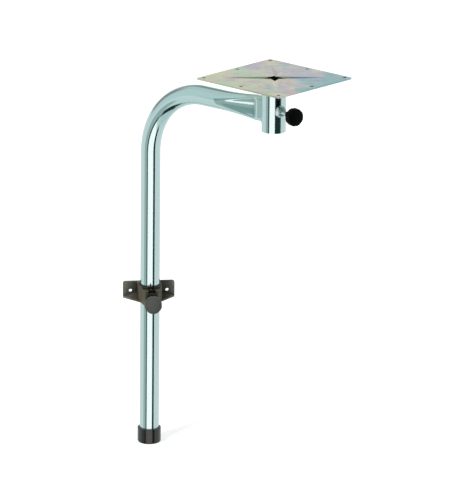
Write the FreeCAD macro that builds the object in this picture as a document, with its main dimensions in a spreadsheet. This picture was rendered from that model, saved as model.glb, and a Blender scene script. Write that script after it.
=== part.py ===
import FreeCAD, Part
import math
import os
import re
import Sketcher

# Swivel table pedestal for a cabin: a bent tube leg stands on the floor, is clamped in a wall
# bracket, and carries a square table plate that swivels in a socket at the end of its arm.
# Millimetres, +Z up. The origin is the middle of the foot's underside, on the leg's axis.
# +X runs along the wall and +Y points into it.

# Driving dimensions
SIZES = {
    # Leg
    "tube_radius": 17.5,
    "tube_wall": 2.0,
    "bend_radius": 122.5,
    "arm_height": 666.5,
    "arm_reach": 282.0,
    "arm_heading": -47.0,
    # Pinched end of the arm
    "arm_straight": 41.3,
    "pinch_depth": 4.0,
    "pinch_step": 4.0,
    "flat_length": 15.0,
    "flat_height": 46.0,
    "flat_thickness": 13.0,
    "flat_crown": 4.3,
    "fan_angle": 9.0,
    # Foot cap
    "cap_wall": 3.7,
    "cap_height": 28.0,
    "cap_floor": 4.0,
    "cap_rounding": 3.0,
    "cap_lip_rounding": 1.0,
    # Socket at the arm's end
    "socket_wall": 2.0,
    "socket_drop": 35.5,
    # Table plate
    "plate_rise": 59.5,
    "plate_side": 190.0,
    "plate_thickness": 3.0,
    "plate_heading": -4.0,
    "plate_corner_rounding": 2.0,
    "star_tip": 19.0,
    "star_waist": 7.5,
    "crease_depth": 1.8,
    "crease_half_width": 9.5,
    "crease_length": 92.0,
    "crease_lap": 1.0,
    "hole_edge_distance": 9.0,
    "plate_hole_radius": 3.2,
    # Spigot under the plate
    "spigot_depth": 83.0,
    # Wall bracket
    "bracket_bottom": 266.0,
    "bracket_height": 30.5,
    "wall_standoff": 3.4,
    "ear_thickness": 4.5,
    "ear_reach": 46.5,
    "ear_rounding": 4.0,
    "ear_hole_spacing": 66.0,
    "ear_hole_height": 13.0,
    "ear_hole_radius": 3.0,
    "collar_wall": 2.4,
    "collar_rounding": 1.0,
    "web_edge": 3.0,
    "web_rise": 10.0,
    "boss_front_half_width": 12.0,
    "boss_root_half_width": 20.5,
    "boss_floor": 2.3,
    "boss_drop": 2.5,
    "boss_rounding": 6.0,
    "boss_front_wall": 3.4,
    "boss_back_wall": 1.6,
    "front_window_drop": 7.0,
    # Plastic bushes
    "bush_wall": 1.6,
    "flange_width": 1.6,
    "flange_thickness": 1.2,
    "bush_slit": 2.5,
    # Clamp screws and what they press on
    "screw_radius": 4.0,
    "screw_tip_bevel": 1.0,
    "screw_grip": 18.0,
    "socket_screw_rise": 3.5,
    "socket_screw_turn": -17.0,
    "socket_screw_gap": 16.5,
    "bracket_screw_gap": 1.5,
    "nut_width": 13.0,
    "nut_thickness": 6.5,
    "shoe_half_width": 4.7,
    "shoe_thickness": 3.0,
    "shoe_top_gap": 1.0,
    "shoe_travel": 2.5,
    "slug_length": 3.2,
    # Clamp knobs
    "knob_radius": 15.5,
    "knob_thickness": 12.0,
    "knob_neck": 14.0,
    "knob_neck_radius": 6.5,
    "knob_shoulder": 3.0,
    "knob_rounding": 2.0,
    "knob_crown": 1.2,
    "knob_crown_radius": 11.0,
    "lobe_depth": 0.9,
    "lobe_radius": 7.0,
    # Welds
    "arm_weld": 3.0,
    "nut_weld": 2.8,
    "plate_weld": 4.0,
    # Clearances
    "slide_gap": 0.05,
    "turn_gap": 0.05,
    "thread_gap": 0.1,
    "pocket_gap": 0.2,
    "loose_gap": 0.3,
}

# How many lobes a knob has, and how many sides repeat round the plate
KNOB_LOBES = 8
PLATE_SIDES = 4

# Sizes that follow from the driving ones
BUSH_INNER = "(tube_radius + slide_gap)"
BUSH_OUTER = f"({BUSH_INNER} + bush_wall)"
BUSH_BORE = f"({BUSH_OUTER} + turn_gap)"
SOCKET_RADIUS = f"({BUSH_BORE} + socket_wall)"
SOCKET_BOTTOM = "(arm_height - socket_drop)"
SOCKET_SCREW_HEIGHT = "(arm_height + socket_screw_rise)"
PLATE_TOP = "(arm_height + plate_rise)"
PLATE_UNDERSIDE = f"({PLATE_TOP} - plate_thickness)"
SOCKET_TOP = f"({PLATE_UNDERSIDE} - plate_weld - loose_gap - flange_thickness)"
PLATE_HALF_DIAGONAL = "(plate_side / sqrt(2))"
HOLE_OFFSET = "(plate_side / 2 - hole_edge_distance)"
CAP_RADIUS = "(tube_radius + cap_wall)"
THREAD_BORE = "(screw_radius + thread_gap)"

# Places along the arm
FLAT_START = f"(arm_reach - {SOCKET_RADIUS} - flat_length)"
PINCH_END = f"({FLAT_START} - pinch_step)"
PINCH_START = "(bend_radius + arm_straight)"

# Bracket, seen from the middle of its collar
COLLAR_RADIUS = f"({BUSH_BORE} + collar_wall)"
WALL_DISTANCE = f"({COLLAR_RADIUS} + wall_standoff)"
BRACKET_TOP = "(bracket_bottom + bracket_height)"
BOSS_TOP = f"({BRACKET_TOP} - boss_drop)"
POCKET_FLOOR = "(bracket_bottom + boss_floor)"
BRACKET_SCREW_HEIGHT = f"({POCKET_FLOOR} + pocket_gap + nut_width / 2)"

# Distances out along a clamp screw, from the axis of the tube that it clamps
SEAT = f"({BUSH_OUTER} + thread_gap)"
SHOE_BACK = f"({SEAT} + shoe_thickness)"
NOTCH_BACK = f"({SHOE_BACK} + shoe_travel + loose_gap)"
NUT_INNER = f"({NOTCH_BACK} + boss_back_wall + pocket_gap)"
NUT_OUTER = f"({NUT_INNER} + nut_thickness)"
BOSS_FRONT = f"({NUT_OUTER} + pocket_gap + boss_front_wall)"
BRACKET_NECK = f"({BOSS_FRONT} + bracket_screw_gap)"
SLUG_BACK = f"({SEAT} + slug_length)"
WELD_NUT_FACE = f"({SOCKET_RADIUS} + nut_thickness)"
SOCKET_NECK = f"({WELD_NUT_FACE} + socket_screw_gap)"

doc = FreeCAD.newDocument("table_pedestal")
sheet = doc.addObject("Spreadsheet::Sheet", "sizes")


# Helpers for the sheet

def fill_sheet():
    """Write each driving dimension and its alias to one row."""
    for row, (name, size) in enumerate(SIZES.items(), start=1):
        sheet.set(f"A{row}", name)
        sheet.set(f"B{row}", str(size))
        sheet.setAlias(f"B{row}", name)
    doc.recompute()


def in_sheet(text):
    """An expression of plain size names, with each name pointing at its cell."""
    return re.sub(r"[a-z]\w*", lambda word: "sizes." + word[0] if word[0] in SIZES else word[0], text)


def number(text):
    """The number that an expression of size names has now."""
    return float(sheet.evalExpression(in_sheet(text)))


def bind(item, setting, text):
    """Tie one setting of an object to an expression of size names."""
    item.setExpression(setting, in_sheet(text))


# Helpers for bodies and sketches

def new_body(name):
    body = doc.addObject("PartDesign::Body", name)
    body.Label = name
    return body


def origin_item(body, role):
    """One of the body's own origin planes or axes."""
    return [item for item in body.Origin.OriginFeatures if item.Role == role][0]


def sketch_on(body, role, name, offset=None):
    """An empty sketch on an origin plane of the body, moved along the plane's normal."""
    sketch = body.newObject("Sketcher::SketchObject", name)
    sketch.AttachmentSupport = [(origin_item(body, role), "")]
    sketch.MapMode = "FlatFace"
    if offset:
        bind(sketch, ".AttachmentOffset.Base.z", offset)
    return sketch


def rule(sketch, text, *constraint):
    """Add a constraint whose size follows an expression."""
    index = sketch.addConstraint(Sketcher.Constraint(*constraint, number(text)))
    bind(sketch, f"Constraints[{index}]", text)


def pin(sketch, edge, end, x, y):
    """Hold one point of an edge at (x, y) of the sketch."""
    if x == "0":
        sketch.addConstraint(Sketcher.Constraint("PointOnObject", edge, end, -2))
    else:
        rule(sketch, x, "DistanceX", -1, 1, edge, end)
    if y == "0":
        sketch.addConstraint(Sketcher.Constraint("PointOnObject", edge, end, -1))
    else:
        rule(sketch, y, "DistanceY", -1, 1, edge, end)


def point(x, y):
    return FreeCAD.Vector(number(x), number(y), 0)


def circle(sketch, x, y, radius):
    edge = sketch.addGeometry(Part.Circle(point(x, y), FreeCAD.Vector(0, 0, 1), number(radius)))
    rule(sketch, radius, "Radius", edge)
    pin(sketch, edge, 3, x, y)


def outline(sketch, corners):
    """A closed outline of straight edges through corners given as pairs of expressions."""
    first = sketch.GeometryCount
    for here, there in zip(corners, corners[1:] + corners[:1]):
        sketch.addGeometry(Part.LineSegment(point(*here), point(*there)))
    for index, (x, y) in enumerate(corners):
        before = first + (index - 1) % len(corners)
        sketch.addConstraint(Sketcher.Constraint("Coincident", before, 2, first + index, 1))
        pin(sketch, first + index, 1, x, y)


def rectangle(sketch, left, right, low, high):
    outline(sketch, [(left, low), (right, low), (right, high), (left, high)])


def hexagon(sketch):
    """Six-sided outline of a nut, with two of its flats upright."""
    flat = "nut_width / 2"
    half = "nut_width / 2 / sqrt(3)"
    corner = "nut_width / sqrt(3)"
    outline(sketch, [
        (flat, "-" + half),
        (flat, half),
        ("0", corner),
        ("-" + flat, half),
        ("-" + flat, "-" + half),
        ("0", "-" + corner),
    ])


# Helpers for features

def pad(body, sketch, length):
    feature = body.newObject("PartDesign::Pad", sketch.Name + "_pad")
    feature.Profile = sketch
    bind(feature, "Length", length)
    return feature


def pocket(body, sketch, depth, reverse=False):
    feature = body.newObject("PartDesign::Pocket", sketch.Name + "_pocket")
    feature.Profile = sketch
    feature.Reversed = reverse
    bind(feature, "Length", depth)
    return feature


def pocket_through(body, sketch):
    """Cut a sketch's outline right through the body, both ways from its plane."""
    feature = body.newObject("PartDesign::Pocket", sketch.Name + "_pocket")
    feature.Profile = sketch
    feature.Type = "ThroughAll"
    feature.Midplane = True
    return feature


def turned(body, sketch, axis):
    """Turn a half section about the sketch's V_Axis or H_Axis."""
    feature = body.newObject("PartDesign::Revolution", sketch.Name + "_turned")
    feature.Profile = sketch
    feature.ReferenceAxis = (sketch, [axis])
    feature.Angle = 360
    return feature


def around(body, feature, count, axis, name):
    """Repeat a feature evenly about one of the body's axes."""
    doc.recompute()
    pattern = body.newObject("PartDesign::PolarPattern", name)
    pattern.Originals = [feature]
    pattern.Axis = (origin_item(body, axis), [""])
    pattern.Angle = 360
    pattern.Occurrences = count
    body.Tip = pattern


def round_edges(body, base, radius, test, name):
    """Round the edges of the last feature that pass a test of their shape."""
    doc.recompute()
    names = [f"Edge{index}" for index, edge in enumerate(base.Shape.Edges, start=1) if test(edge)]
    fillet = body.newObject("PartDesign::Fillet", name)
    fillet.Base = (base, names)
    bind(fillet, "Radius", radius)
    body.Tip = fillet
    return fillet


def place_in_socket(item, heading):
    """Stand a piece on the socket's axis, turned to a heading in plan."""
    bind(item, ".Placement.Base.x", "arm_reach * cos(arm_heading)")
    bind(item, ".Placement.Base.y", "arm_reach * sin(arm_heading)")
    bind(item, ".Placement.Rotation.Angle", heading)


def place_on_socket_screw(item):
    """Lay a piece along the socket's clamp screw: its +X points outwards."""
    place_in_socket(item, "arm_heading + socket_screw_turn")
    bind(item, ".Placement.Base.z", SOCKET_SCREW_HEIGHT)


def place_on_bracket_screw(item):
    """Lay a piece along the bracket's clamp screw: its +X points away from the wall."""
    bind(item, ".Placement.Base.z", BRACKET_SCREW_HEIGHT)
    bind(item, ".Placement.Rotation.Angle", "-90")


# Leg

def make_tube_run():
    """Upright, bend and arm of one tube, up to where the arm's end is pinched."""
    body = new_body("tube_run")
    path = sketch_on(body, "XZ_Plane", "tube_path")
    bend_start = "arm_height - bend_radius"
    upright = path.addGeometry(Part.LineSegment(point("0", "cap_floor"), point("0", bend_start)))
    bend = path.addGeometry(Part.ArcOfCircle(
        Part.Circle(point("bend_radius", bend_start), FreeCAD.Vector(0, 0, 1), number("bend_radius")),
        math.pi / 2, math.pi))
    arm = path.addGeometry(Part.LineSegment(point("bend_radius", "arm_height"), point(PINCH_START, "arm_height")))
    pin(path, upright, 1, "0", "cap_floor")
    pin(path, upright, 2, "0", bend_start)
    path.addConstraint(Sketcher.Constraint("Coincident", upright, 2, bend, 2))
    path.addConstraint(Sketcher.Constraint("Coincident", bend, 1, arm, 1))
    pin(path, arm, 1, "bend_radius", "arm_height")
    rule(path, "bend_radius", "Radius", bend)
    pin(path, arm, 2, PINCH_START, "arm_height")
    ring = sketch_on(body, "XY_Plane", "tube_ring", "cap_floor")
    circle(ring, "0", "0", "tube_radius")
    circle(ring, "0", "0", "tube_radius - tube_wall")
    pipe = body.newObject("PartDesign::AdditivePipe", "bent_tube")
    pipe.Profile = ring
    pipe.Spine = (path, [])
    return body


def pinch_section(along, half_height, ridge_width, ridge_height, waist):
    """A closed section across the arm: round edges above and below, and two sides.

    A side runs between two ridges, at (ridge_width, ridge_height) and its mirror image,
    and its middle lies at the waist. A waist inside the ridges makes the side hollow.
    """
    middle = number("arm_height")

    def at(across, up):
        return FreeCAD.Vector(along, across, middle + up)

    edges = []
    for side in (1, -1):
        upper = at(side * ridge_width, side * ridge_height)
        lower = at(side * ridge_width, -side * ridge_height)
        edges.append(Part.Arc(at(-side * ridge_width, side * ridge_height), at(0, side * half_height), upper))
        if abs(waist - ridge_width) < number("slide_gap"):
            edges.append(Part.LineSegment(upper, lower))
        else:
            edges.append(Part.Arc(upper, at(side * waist, 0), lower))
    return Part.Wire([edge.toShape() for edge in edges])


def flat_section(along, grown):
    """Section of the arm's flat end, grown outwards all round."""
    half_thickness = number("flat_thickness / 2") + grown
    half_height = number("flat_height / 2") + grown
    return pinch_section(along, half_height, half_thickness, half_height - number("flat_crown"), half_thickness)


def pinched_form(inset):
    """Solid form of the pinched end, drawn in by an inset: 0 is the outside of the tube."""
    radius = number("tube_radius") - inset
    start, end = number(PINCH_START), number(PINCH_END)
    fan = math.radians(number("fan_angle"))
    half_height = number("flat_height / 2") - inset
    half_thickness = number("flat_thickness / 2") - inset
    begin = (radius * math.cos(fan), radius * math.sin(fan), radius)
    finish = (half_thickness, half_height - number("flat_crown"), half_thickness - number("pinch_depth"))
    sections = []
    # The sides sink in evenly, and the height grows slowly at first
    for share in (0, 0.35, 0.7, 1):
        height = radius + (half_height - radius) * share ** 2
        ridge_width, ridge_height, waist = (a + (b - a) * share for a, b in zip(begin, finish))
        along = start + (end - start) * share
        sections.append(pinch_section(along, height, ridge_width, ridge_height, waist))
    dent = Part.makeLoft(sections, True, False)
    flat = flat_section(number(FLAT_START), -inset)
    step = Part.makeLoft([sections[-1], flat], True, True)
    strip = Part.Face(flat).extrude(FreeCAD.Vector(number(f"arm_reach - {FLAT_START}"), 0, 0))
    return dent.fuse([step, strip])


def make_leg_tube():
    """The whole leg: the bent tube, its pinched end, and the hollow that seats on the socket."""
    run = make_tube_run()
    end = doc.addObject("Part::Feature", "pinched_end")
    end.Shape = pinched_form(0).cut(pinched_form(number("tube_wall")))
    whole = doc.addObject("Part::Fuse", "leg_with_end")
    whole.Base = run
    whole.Tool = end
    whole.Refine = False
    seat = doc.addObject("Part::Cylinder", "arm_seat")
    bind(seat, "Radius", SOCKET_RADIUS)
    bind(seat, "Height", PLATE_TOP)
    bind(seat, ".Placement.Base.x", "arm_reach")
    leg = doc.addObject("Part::Cut", "leg_tube")
    leg.Label = "leg_tube"
    leg.Base = whole
    leg.Tool = seat
    leg.Refine = False
    bind(leg, ".Placement.Rotation.Angle", "arm_heading")
    return leg


def make_arm_weld():
    """Weld bead round the arm's flat end where it meets the socket."""
    root = number(f"arm_reach - {SOCKET_RADIUS}")
    leg = number("arm_weld")
    toe_section = flat_section(root - leg, 0)
    root_section = flat_section(root, leg)
    slope = Part.makeLoft([toe_section, root_section], True, True)
    depth = FreeCAD.Vector(number(SOCKET_RADIUS) / 2, 0, 0)
    block = Part.Face(root_section).extrude(depth)
    arm = Part.Face(toe_section).extrude(depth * 2)
    socket = Part.makeCylinder(number(SOCKET_RADIUS), number(PLATE_TOP), FreeCAD.Vector(number("arm_reach"), 0, 0))
    weld = doc.addObject("Part::Feature", "arm_weld")
    weld.Label = "arm_weld"
    weld.Shape = slope.fuse(block).cut(arm).cut(socket)
    weld.Placement = FreeCAD.Placement(FreeCAD.Vector(), FreeCAD.Rotation(number("arm_heading"), 0, 0))
    return weld


def make_foot_cap():
    """Moulded cap on the leg's lower end, with a rounded lower edge."""
    body = new_body("foot_cap")
    section = sketch_on(body, "XZ_Plane", "cap_section")
    outline(section, [
        ("0", "0"),
        (CAP_RADIUS, "0"),
        (CAP_RADIUS, "cap_height"),
        ("tube_radius", "cap_height"),
        ("tube_radius", "cap_floor"),
        ("0", "cap_floor"),
    ])
    cup = turned(body, section, "V_Axis")
    lower = round_edges(body, cup, "cap_rounding", ring_at(CAP_RADIUS, "Z", "0"), "cap_lower_edge")
    round_edges(body, lower, "cap_lip_rounding", ring_at(CAP_RADIUS, "Z", "cap_height"), "cap_lip")
    return body


def ring_at(radius, axis, distance):
    """A test for round edges of a radius, at a distance along an axis."""
    wanted, place, near = number(radius), number(distance), number("slide_gap")

    def test(edge):
        if not hasattr(edge.Curve, "Radius"):
            return False
        centre = {"X": edge.Curve.Center.x, "Z": edge.Curve.Center.z}[axis]
        return abs(edge.Curve.Radius - wanted) < near and abs(centre - place) < near
    return test


# Socket

def make_socket_tube():
    """Upright tube welded to the arm's end, with the clamp screw's hole in its wall."""
    body = new_body("socket_tube")
    ring = sketch_on(body, "XY_Plane", "socket_ring", SOCKET_BOTTOM)
    circle(ring, "0", "0", SOCKET_RADIUS)
    circle(ring, "0", "0", BUSH_BORE)
    pad(body, ring, f"{SOCKET_TOP} - {SOCKET_BOTTOM}")
    hole = sketch_on(body, "YZ_Plane", "socket_screw_hole")
    circle(hole, "0", SOCKET_SCREW_HEIGHT, THREAD_BORE)
    pocket(body, hole, f"2 * {SOCKET_RADIUS}", reverse=True)
    place_in_socket(body, "arm_heading + socket_screw_turn")
    return body


def bevel_nut(body, face):
    """Turn off a nut's corners at its outer face, as on any such nut."""
    section = sketch_on(body, "XZ_Plane", body.Name + "_bevel")
    outline(section, [
        (face, "nut_width / 2"),
        (face, "nut_width"),
        (face + " - nut_width / 2 / sqrt(3)", "nut_width"),
    ])
    groove = body.newObject("PartDesign::Groove", body.Name + "_corners")
    groove.Profile = section
    groove.ReferenceAxis = (section, ["H_Axis"])
    groove.Angle = 360


def hollow_for_socket(body):
    """Shape the inner end of a piece to the socket's wall."""
    seat = sketch_on(body, "XY_Plane", body.Name + "_seat")
    circle(seat, "0", "0", SOCKET_RADIUS)
    pocket_through(body, seat)


def make_weld_nut():
    """Six-sided nut welded to the socket's wall."""
    body = new_body("weld_nut")
    face = sketch_on(body, "YZ_Plane", "weld_nut_face", BUSH_BORE)
    hexagon(face)
    circle(face, "0", "0", THREAD_BORE)
    pad(body, face, f"{WELD_NUT_FACE} - {BUSH_BORE}")
    bevel_nut(body, WELD_NUT_FACE)
    hollow_for_socket(body)
    place_on_socket_screw(body)
    return body


def make_nut_weld():
    """Round weld bead between the nut and the socket's wall."""
    body = new_body("nut_weld")
    section = sketch_on(body, "XZ_Plane", "nut_weld_section")
    corner = "nut_width / sqrt(3)"
    outline(section, [
        (BUSH_BORE, THREAD_BORE),
        (SOCKET_RADIUS + " + nut_weld", THREAD_BORE),
        (SOCKET_RADIUS + " + nut_weld", corner),
        (SOCKET_RADIUS, corner + " + nut_weld"),
        (BUSH_BORE, corner + " + nut_weld"),
    ])
    turned(body, section, "H_Axis")
    hollow_for_socket(body)
    nut = sketch_on(body, "YZ_Plane", "nut_weld_opening")
    hexagon(nut)
    pocket(body, nut, WELD_NUT_FACE, reverse=True)
    place_on_socket_screw(body)
    return body


def make_bush(name, low, high):
    """Slit plastic sleeve with a flange on top."""
    body = new_body(name)
    section = sketch_on(body, "XZ_Plane", name + "_section")
    outline(section, [
        (BUSH_INNER, low),
        (BUSH_OUTER, low),
        (BUSH_OUTER, high),
        (BUSH_OUTER + " + flange_width", high),
        (BUSH_OUTER + " + flange_width", high + " + flange_thickness"),
        (BUSH_INNER, high + " + flange_thickness"),
    ])
    turned(body, section, "V_Axis")
    slit = sketch_on(body, "XZ_Plane", name + "_slit")
    rectangle(slit, "-bush_slit / 2", "bush_slit / 2",
              low + " - flange_thickness", high + " + 2 * flange_thickness")
    pocket(body, slit, f"2 * {BUSH_OUTER}")
    return body


def make_socket_bush():
    bush = make_bush("socket_bush", SOCKET_BOTTOM, SOCKET_TOP)
    place_in_socket(bush, "arm_heading + 180")
    return bush


def make_collar_bush():
    bush = make_bush("collar_bush", "bracket_bottom", BRACKET_TOP)
    bind(bush, ".Placement.Rotation.Angle", "180")
    return bush


# Table plate and spigot

def make_table_plate():
    """Pressed square plate: four creases run from a star-shaped hole towards its corners."""
    body = new_body("table_plate")
    square = sketch_on(body, "XY_Plane", "plate_outline", PLATE_UNDERSIDE)
    plate_square(square)
    flat = pad(body, square, "plate_thickness")
    round_edges(body, flat, "plate_corner_rounding", upright, "plate_corners")
    crease(body, "ridge", "Pad", PLATE_UNDERSIDE)
    trim = sketch_on(body, "XY_Plane", "ridge_trim", PLATE_TOP)
    plate_square(trim)
    pocket(body, trim, "crease_depth + crease_lap", reverse=True)
    crease(body, "valley", "Pocket", PLATE_TOP)
    star = sketch_on(body, "XY_Plane", "star_hole", PLATE_TOP)
    star_outline(star)
    pocket_through(body, star)
    corner_distance = f"{HOLE_OFFSET} * sqrt(2)"
    side_distance = f"{HOLE_OFFSET} / sqrt(2)"
    plate_holes(body, "corner", corner_distance, "0")
    plate_holes(body, "middle", side_distance, side_distance)
    place_in_socket(body, "plate_heading")
    return body


def plate_square(sketch):
    """The plate's square, with its corners on the two axes."""
    outline(sketch, [
        (PLATE_HALF_DIAGONAL, "0"),
        ("0", PLATE_HALF_DIAGONAL),
        ("-" + PLATE_HALF_DIAGONAL, "0"),
        ("0", "-" + PLATE_HALF_DIAGONAL),
    ])


def upright(edge):
    """A test for upright edges."""
    return abs(edge.BoundBox.ZLength - edge.Length) < number("slide_gap")


def crease(body, name, kind, level):
    """Creases on one side of the plate: Vs, deepest at the middle, that rise and so run out."""
    section = sketch_on(body, "YZ_Plane", name + "_section")
    half_width = "crease_half_width * (crease_depth + crease_lap) / crease_depth"
    top = level + " + crease_lap"
    outline(section, [("-" + half_width, top), (half_width, top), ("0", level + " - crease_depth")])
    run = body.newObject("PartDesign::" + kind, name)
    run.Profile = section
    run.UseCustomVector = True
    run.AlongSketchNormal = False
    run.Direction = point("crease_length", "0") + FreeCAD.Vector(0, 0, number("crease_depth"))
    bind(run, "Length", "sqrt(crease_length ^ 2 + crease_depth ^ 2)")
    around(body, run, PLATE_SIDES, "Z_Axis", name + "s")


def star_outline(sketch):
    """Four points on the plate's diagonals, joined by arcs that bend in towards the middle."""
    bow = "(star_tip ^ 2 - 2 * star_waist ^ 2) / (2 * star_tip - 4 * star_waist)"
    tips = [("star_tip", "0"), ("0", "star_tip"), ("-star_tip", "0"), ("0", "-star_tip")]
    centre, past = number(bow), number(f"star_tip - {bow}")
    lean = math.atan2(centre, past)
    for index, (right, back) in enumerate([(1, 1), (-1, 1), (-1, -1), (1, -1)]):
        middle = FreeCAD.Vector(right * centre, back * centre, 0)
        ring = Part.Circle(middle, FreeCAD.Vector(0, 0, 1), math.hypot(centre, past))
        turn = index * math.pi / 2
        edge = sketch.addGeometry(Part.ArcOfCircle(ring, turn + math.pi / 2 + lean, turn + 2 * math.pi - lean))
        pin(sketch, edge, 1, *tips[(index + 1) % 4])
        pin(sketch, edge, 2, *tips[index])
        rule(sketch, bow if right > 0 else f"-({bow})", "DistanceX", -1, 1, edge, 3)


def plate_holes(body, name, x, y):
    """Screw holes, one for each side of the plate."""
    hole = sketch_on(body, "XY_Plane", name + "_hole", PLATE_TOP)
    circle(hole, x, y, "plate_hole_radius")
    around(body, pocket_through(body, hole), PLATE_SIDES, "Z_Axis", name + "_holes")


def under_plate(name, piece, plate):
    """Cut a piece's upper end to the form of the plate's underside."""
    fitted = doc.addObject("Part::Cut", name)
    fitted.Label = name
    fitted.Base = piece
    fitted.Tool = plate
    return fitted


def make_spigot(plate):
    """Tube welded under the plate, which turns in the socket."""
    body = new_body("spigot_tube")
    ring = sketch_on(body, "XY_Plane", "spigot_ring", f"{PLATE_UNDERSIDE} - spigot_depth")
    circle(ring, "0", "0", "tube_radius")
    circle(ring, "0", "0", "tube_radius - tube_wall")
    pad(body, ring, "spigot_depth")
    place_in_socket(body, "plate_heading")
    return under_plate("spigot", body, plate)


def make_spigot_weld(plate):
    """Weld bead in the corner between the spigot and the plate."""
    body = new_body("spigot_bead")
    section = sketch_on(body, "XZ_Plane", "spigot_bead_section")
    outline(section, [
        ("tube_radius", PLATE_UNDERSIDE),
        ("tube_radius", f"{PLATE_UNDERSIDE} - plate_weld"),
        ("tube_radius + plate_weld", PLATE_UNDERSIDE),
    ])
    turned(body, section, "V_Axis")
    place_in_socket(body, "plate_heading")
    return under_plate("spigot_weld", body, plate)


# Wall bracket

def make_wall_bracket():
    """One moulding: a collar, two ears, a sloped web under each ear, and the clamp's boss."""
    body = new_body("wall_bracket")
    collar = sketch_on(body, "XY_Plane", "collar_outline", "bracket_bottom")
    circle(collar, "0", "0", COLLAR_RADIUS)
    pad(body, collar, "bracket_height")
    root = sketch_on(body, "XY_Plane", "collar_root", "bracket_bottom")
    rectangle(root, "-" + COLLAR_RADIUS, COLLAR_RADIUS, "0", WALL_DISTANCE)
    block = pad(body, root, "bracket_height")
    round_edges(body, block, "collar_rounding", ring_at(COLLAR_RADIUS, "Z", BRACKET_TOP), "collar_rim")
    add_ears(body)
    add_boss(body)
    for name, sign in (("right", ""), ("left", "-")):
        add_web(body, name, sign)
    cut_clamp_spaces(body)
    bore = sketch_on(body, "XY_Plane", "collar_bore", "bracket_bottom")
    circle(bore, "0", "0", BUSH_BORE)
    pocket_through(body, bore)
    return body


def add_ears(body):
    """Flat ears along the wall, with rounded upper corners and a screw hole each."""
    ears = sketch_on(body, "XZ_Plane", "ear_outline", "-" + WALL_DISTANCE)
    rectangle(ears, "-ear_reach", "ear_reach", "bracket_bottom", BRACKET_TOP)
    flat = pad(body, ears, "ear_thickness")
    round_edges(body, flat, "ear_rounding", upper_ear_corner, "ear_corners")
    holes = sketch_on(body, "XZ_Plane", "ear_holes", "-" + WALL_DISTANCE)
    for sign in ("-", ""):
        circle(holes, sign + "ear_hole_spacing / 2", "bracket_bottom + ear_hole_height", "ear_hole_radius")
    pocket(body, holes, "2 * ear_thickness", reverse=True)


def upper_ear_corner(edge):
    """A test for the short edges at the ears' upper outer corners."""
    middle, near = edge.CenterOfMass, number("slide_gap")
    outer = abs(abs(middle.x) - number("ear_reach")) < near
    top = abs(middle.z - number(BRACKET_TOP)) < near
    return outer and top and abs(edge.BoundBox.YLength - edge.Length) < near


def add_boss(body):
    """Boss in front of the collar, narrowing forwards, which holds the clamp's nut and shoe."""
    boss = sketch_on(body, "XY_Plane", "boss_outline", "bracket_bottom")
    outline(boss, [
        ("-boss_front_half_width", "-" + BOSS_FRONT),
        ("boss_front_half_width", "-" + BOSS_FRONT),
        ("boss_root_half_width", "0"),
        ("-boss_root_half_width", "0"),
    ])
    block = pad(body, boss, "bracket_height - boss_drop")
    front, near = number(BOSS_FRONT), number("slide_gap")
    round_edges(body, block, "boss_rounding",
                lambda edge: upright(edge) and abs(edge.CenterOfMass.y + front) < near, "boss_corners")


def add_web(body, name, sign):
    """Web under one ear, whose outer face runs from the ear's end to touch the collar.

    Its section, drawn on the ear's front face, is pushed along that outer face, so that
    its top slopes up towards the collar.
    """
    ear_front = f"({WALL_DISTANCE} - ear_thickness)"
    section = sketch_on(body, "XZ_Plane", "web_section_" + name, "-" + ear_front)
    outline(section, [
        (sign + "ear_reach", "bracket_bottom"),
        (sign + "ear_reach", "bracket_bottom + web_edge"),
        (sign + COLLAR_RADIUS, "bracket_bottom + web_edge + web_rise"),
        (sign + COLLAR_RADIUS, "bracket_bottom"),
    ])
    end = complex(number("ear_reach"), number(ear_front))
    collar = number(COLLAR_RADIUS)
    turn = math.atan2(end.imag, end.real) - math.acos(collar / abs(end))
    run = complex(collar * math.cos(turn), collar * math.sin(turn)) - end
    web = body.newObject("PartDesign::Pad", "web_" + name)
    web.Profile = section
    web.UseCustomVector = True
    web.AlongSketchNormal = False
    web.Direction = FreeCAD.Vector(number(sign + "1") * run.real, run.imag, 0)
    bind(web, "Length", f"sqrt(ear_reach ^ 2 + {ear_front} ^ 2 - {COLLAR_RADIUS} ^ 2)")


def cut_clamp_spaces(body):
    """Open the boss from above for the shoe and the nut, and drill it for the screw."""
    slot_side = "(nut_width / 2 + pocket_gap)"
    spaces = (
        ("shoe_notch", POCKET_FLOOR, "(shoe_half_width + loose_gap)", NOTCH_BACK, "0"),
        ("nut_slot", POCKET_FLOOR, slot_side, NUT_OUTER + " + pocket_gap", NUT_INNER + " - pocket_gap"),
        ("front_window", BOSS_TOP + " - front_window_drop + boss_drop", slot_side,
         BOSS_FRONT + " + loose_gap", NUT_OUTER),
    )
    for name, floor, side, front, back in spaces:
        space = sketch_on(body, "XY_Plane", name, floor)
        rectangle(space, "-" + side, side, f"-({front})", f"-({back})" if back != "0" else "0")
        pocket(body, space, "bracket_height", reverse=True)
    hole = sketch_on(body, "XZ_Plane", "bracket_screw_hole")
    circle(hole, "0", BRACKET_SCREW_HEIGHT, "screw_radius + loose_gap")
    pocket(body, hole, BOSS_FRONT + " + loose_gap", reverse=True)


# Clamps

def make_clamp_nut():
    """Square nut held in the bracket's slot."""
    body = new_body("clamp_nut")
    face = sketch_on(body, "YZ_Plane", "clamp_nut_face", NUT_INNER)
    rectangle(face, "-nut_width / 2", "nut_width / 2", "-nut_width / 2", "nut_width / 2")
    circle(face, "0", "0", THREAD_BORE)
    pad(body, face, "nut_thickness")
    place_on_bracket_screw(body)
    return body


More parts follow.
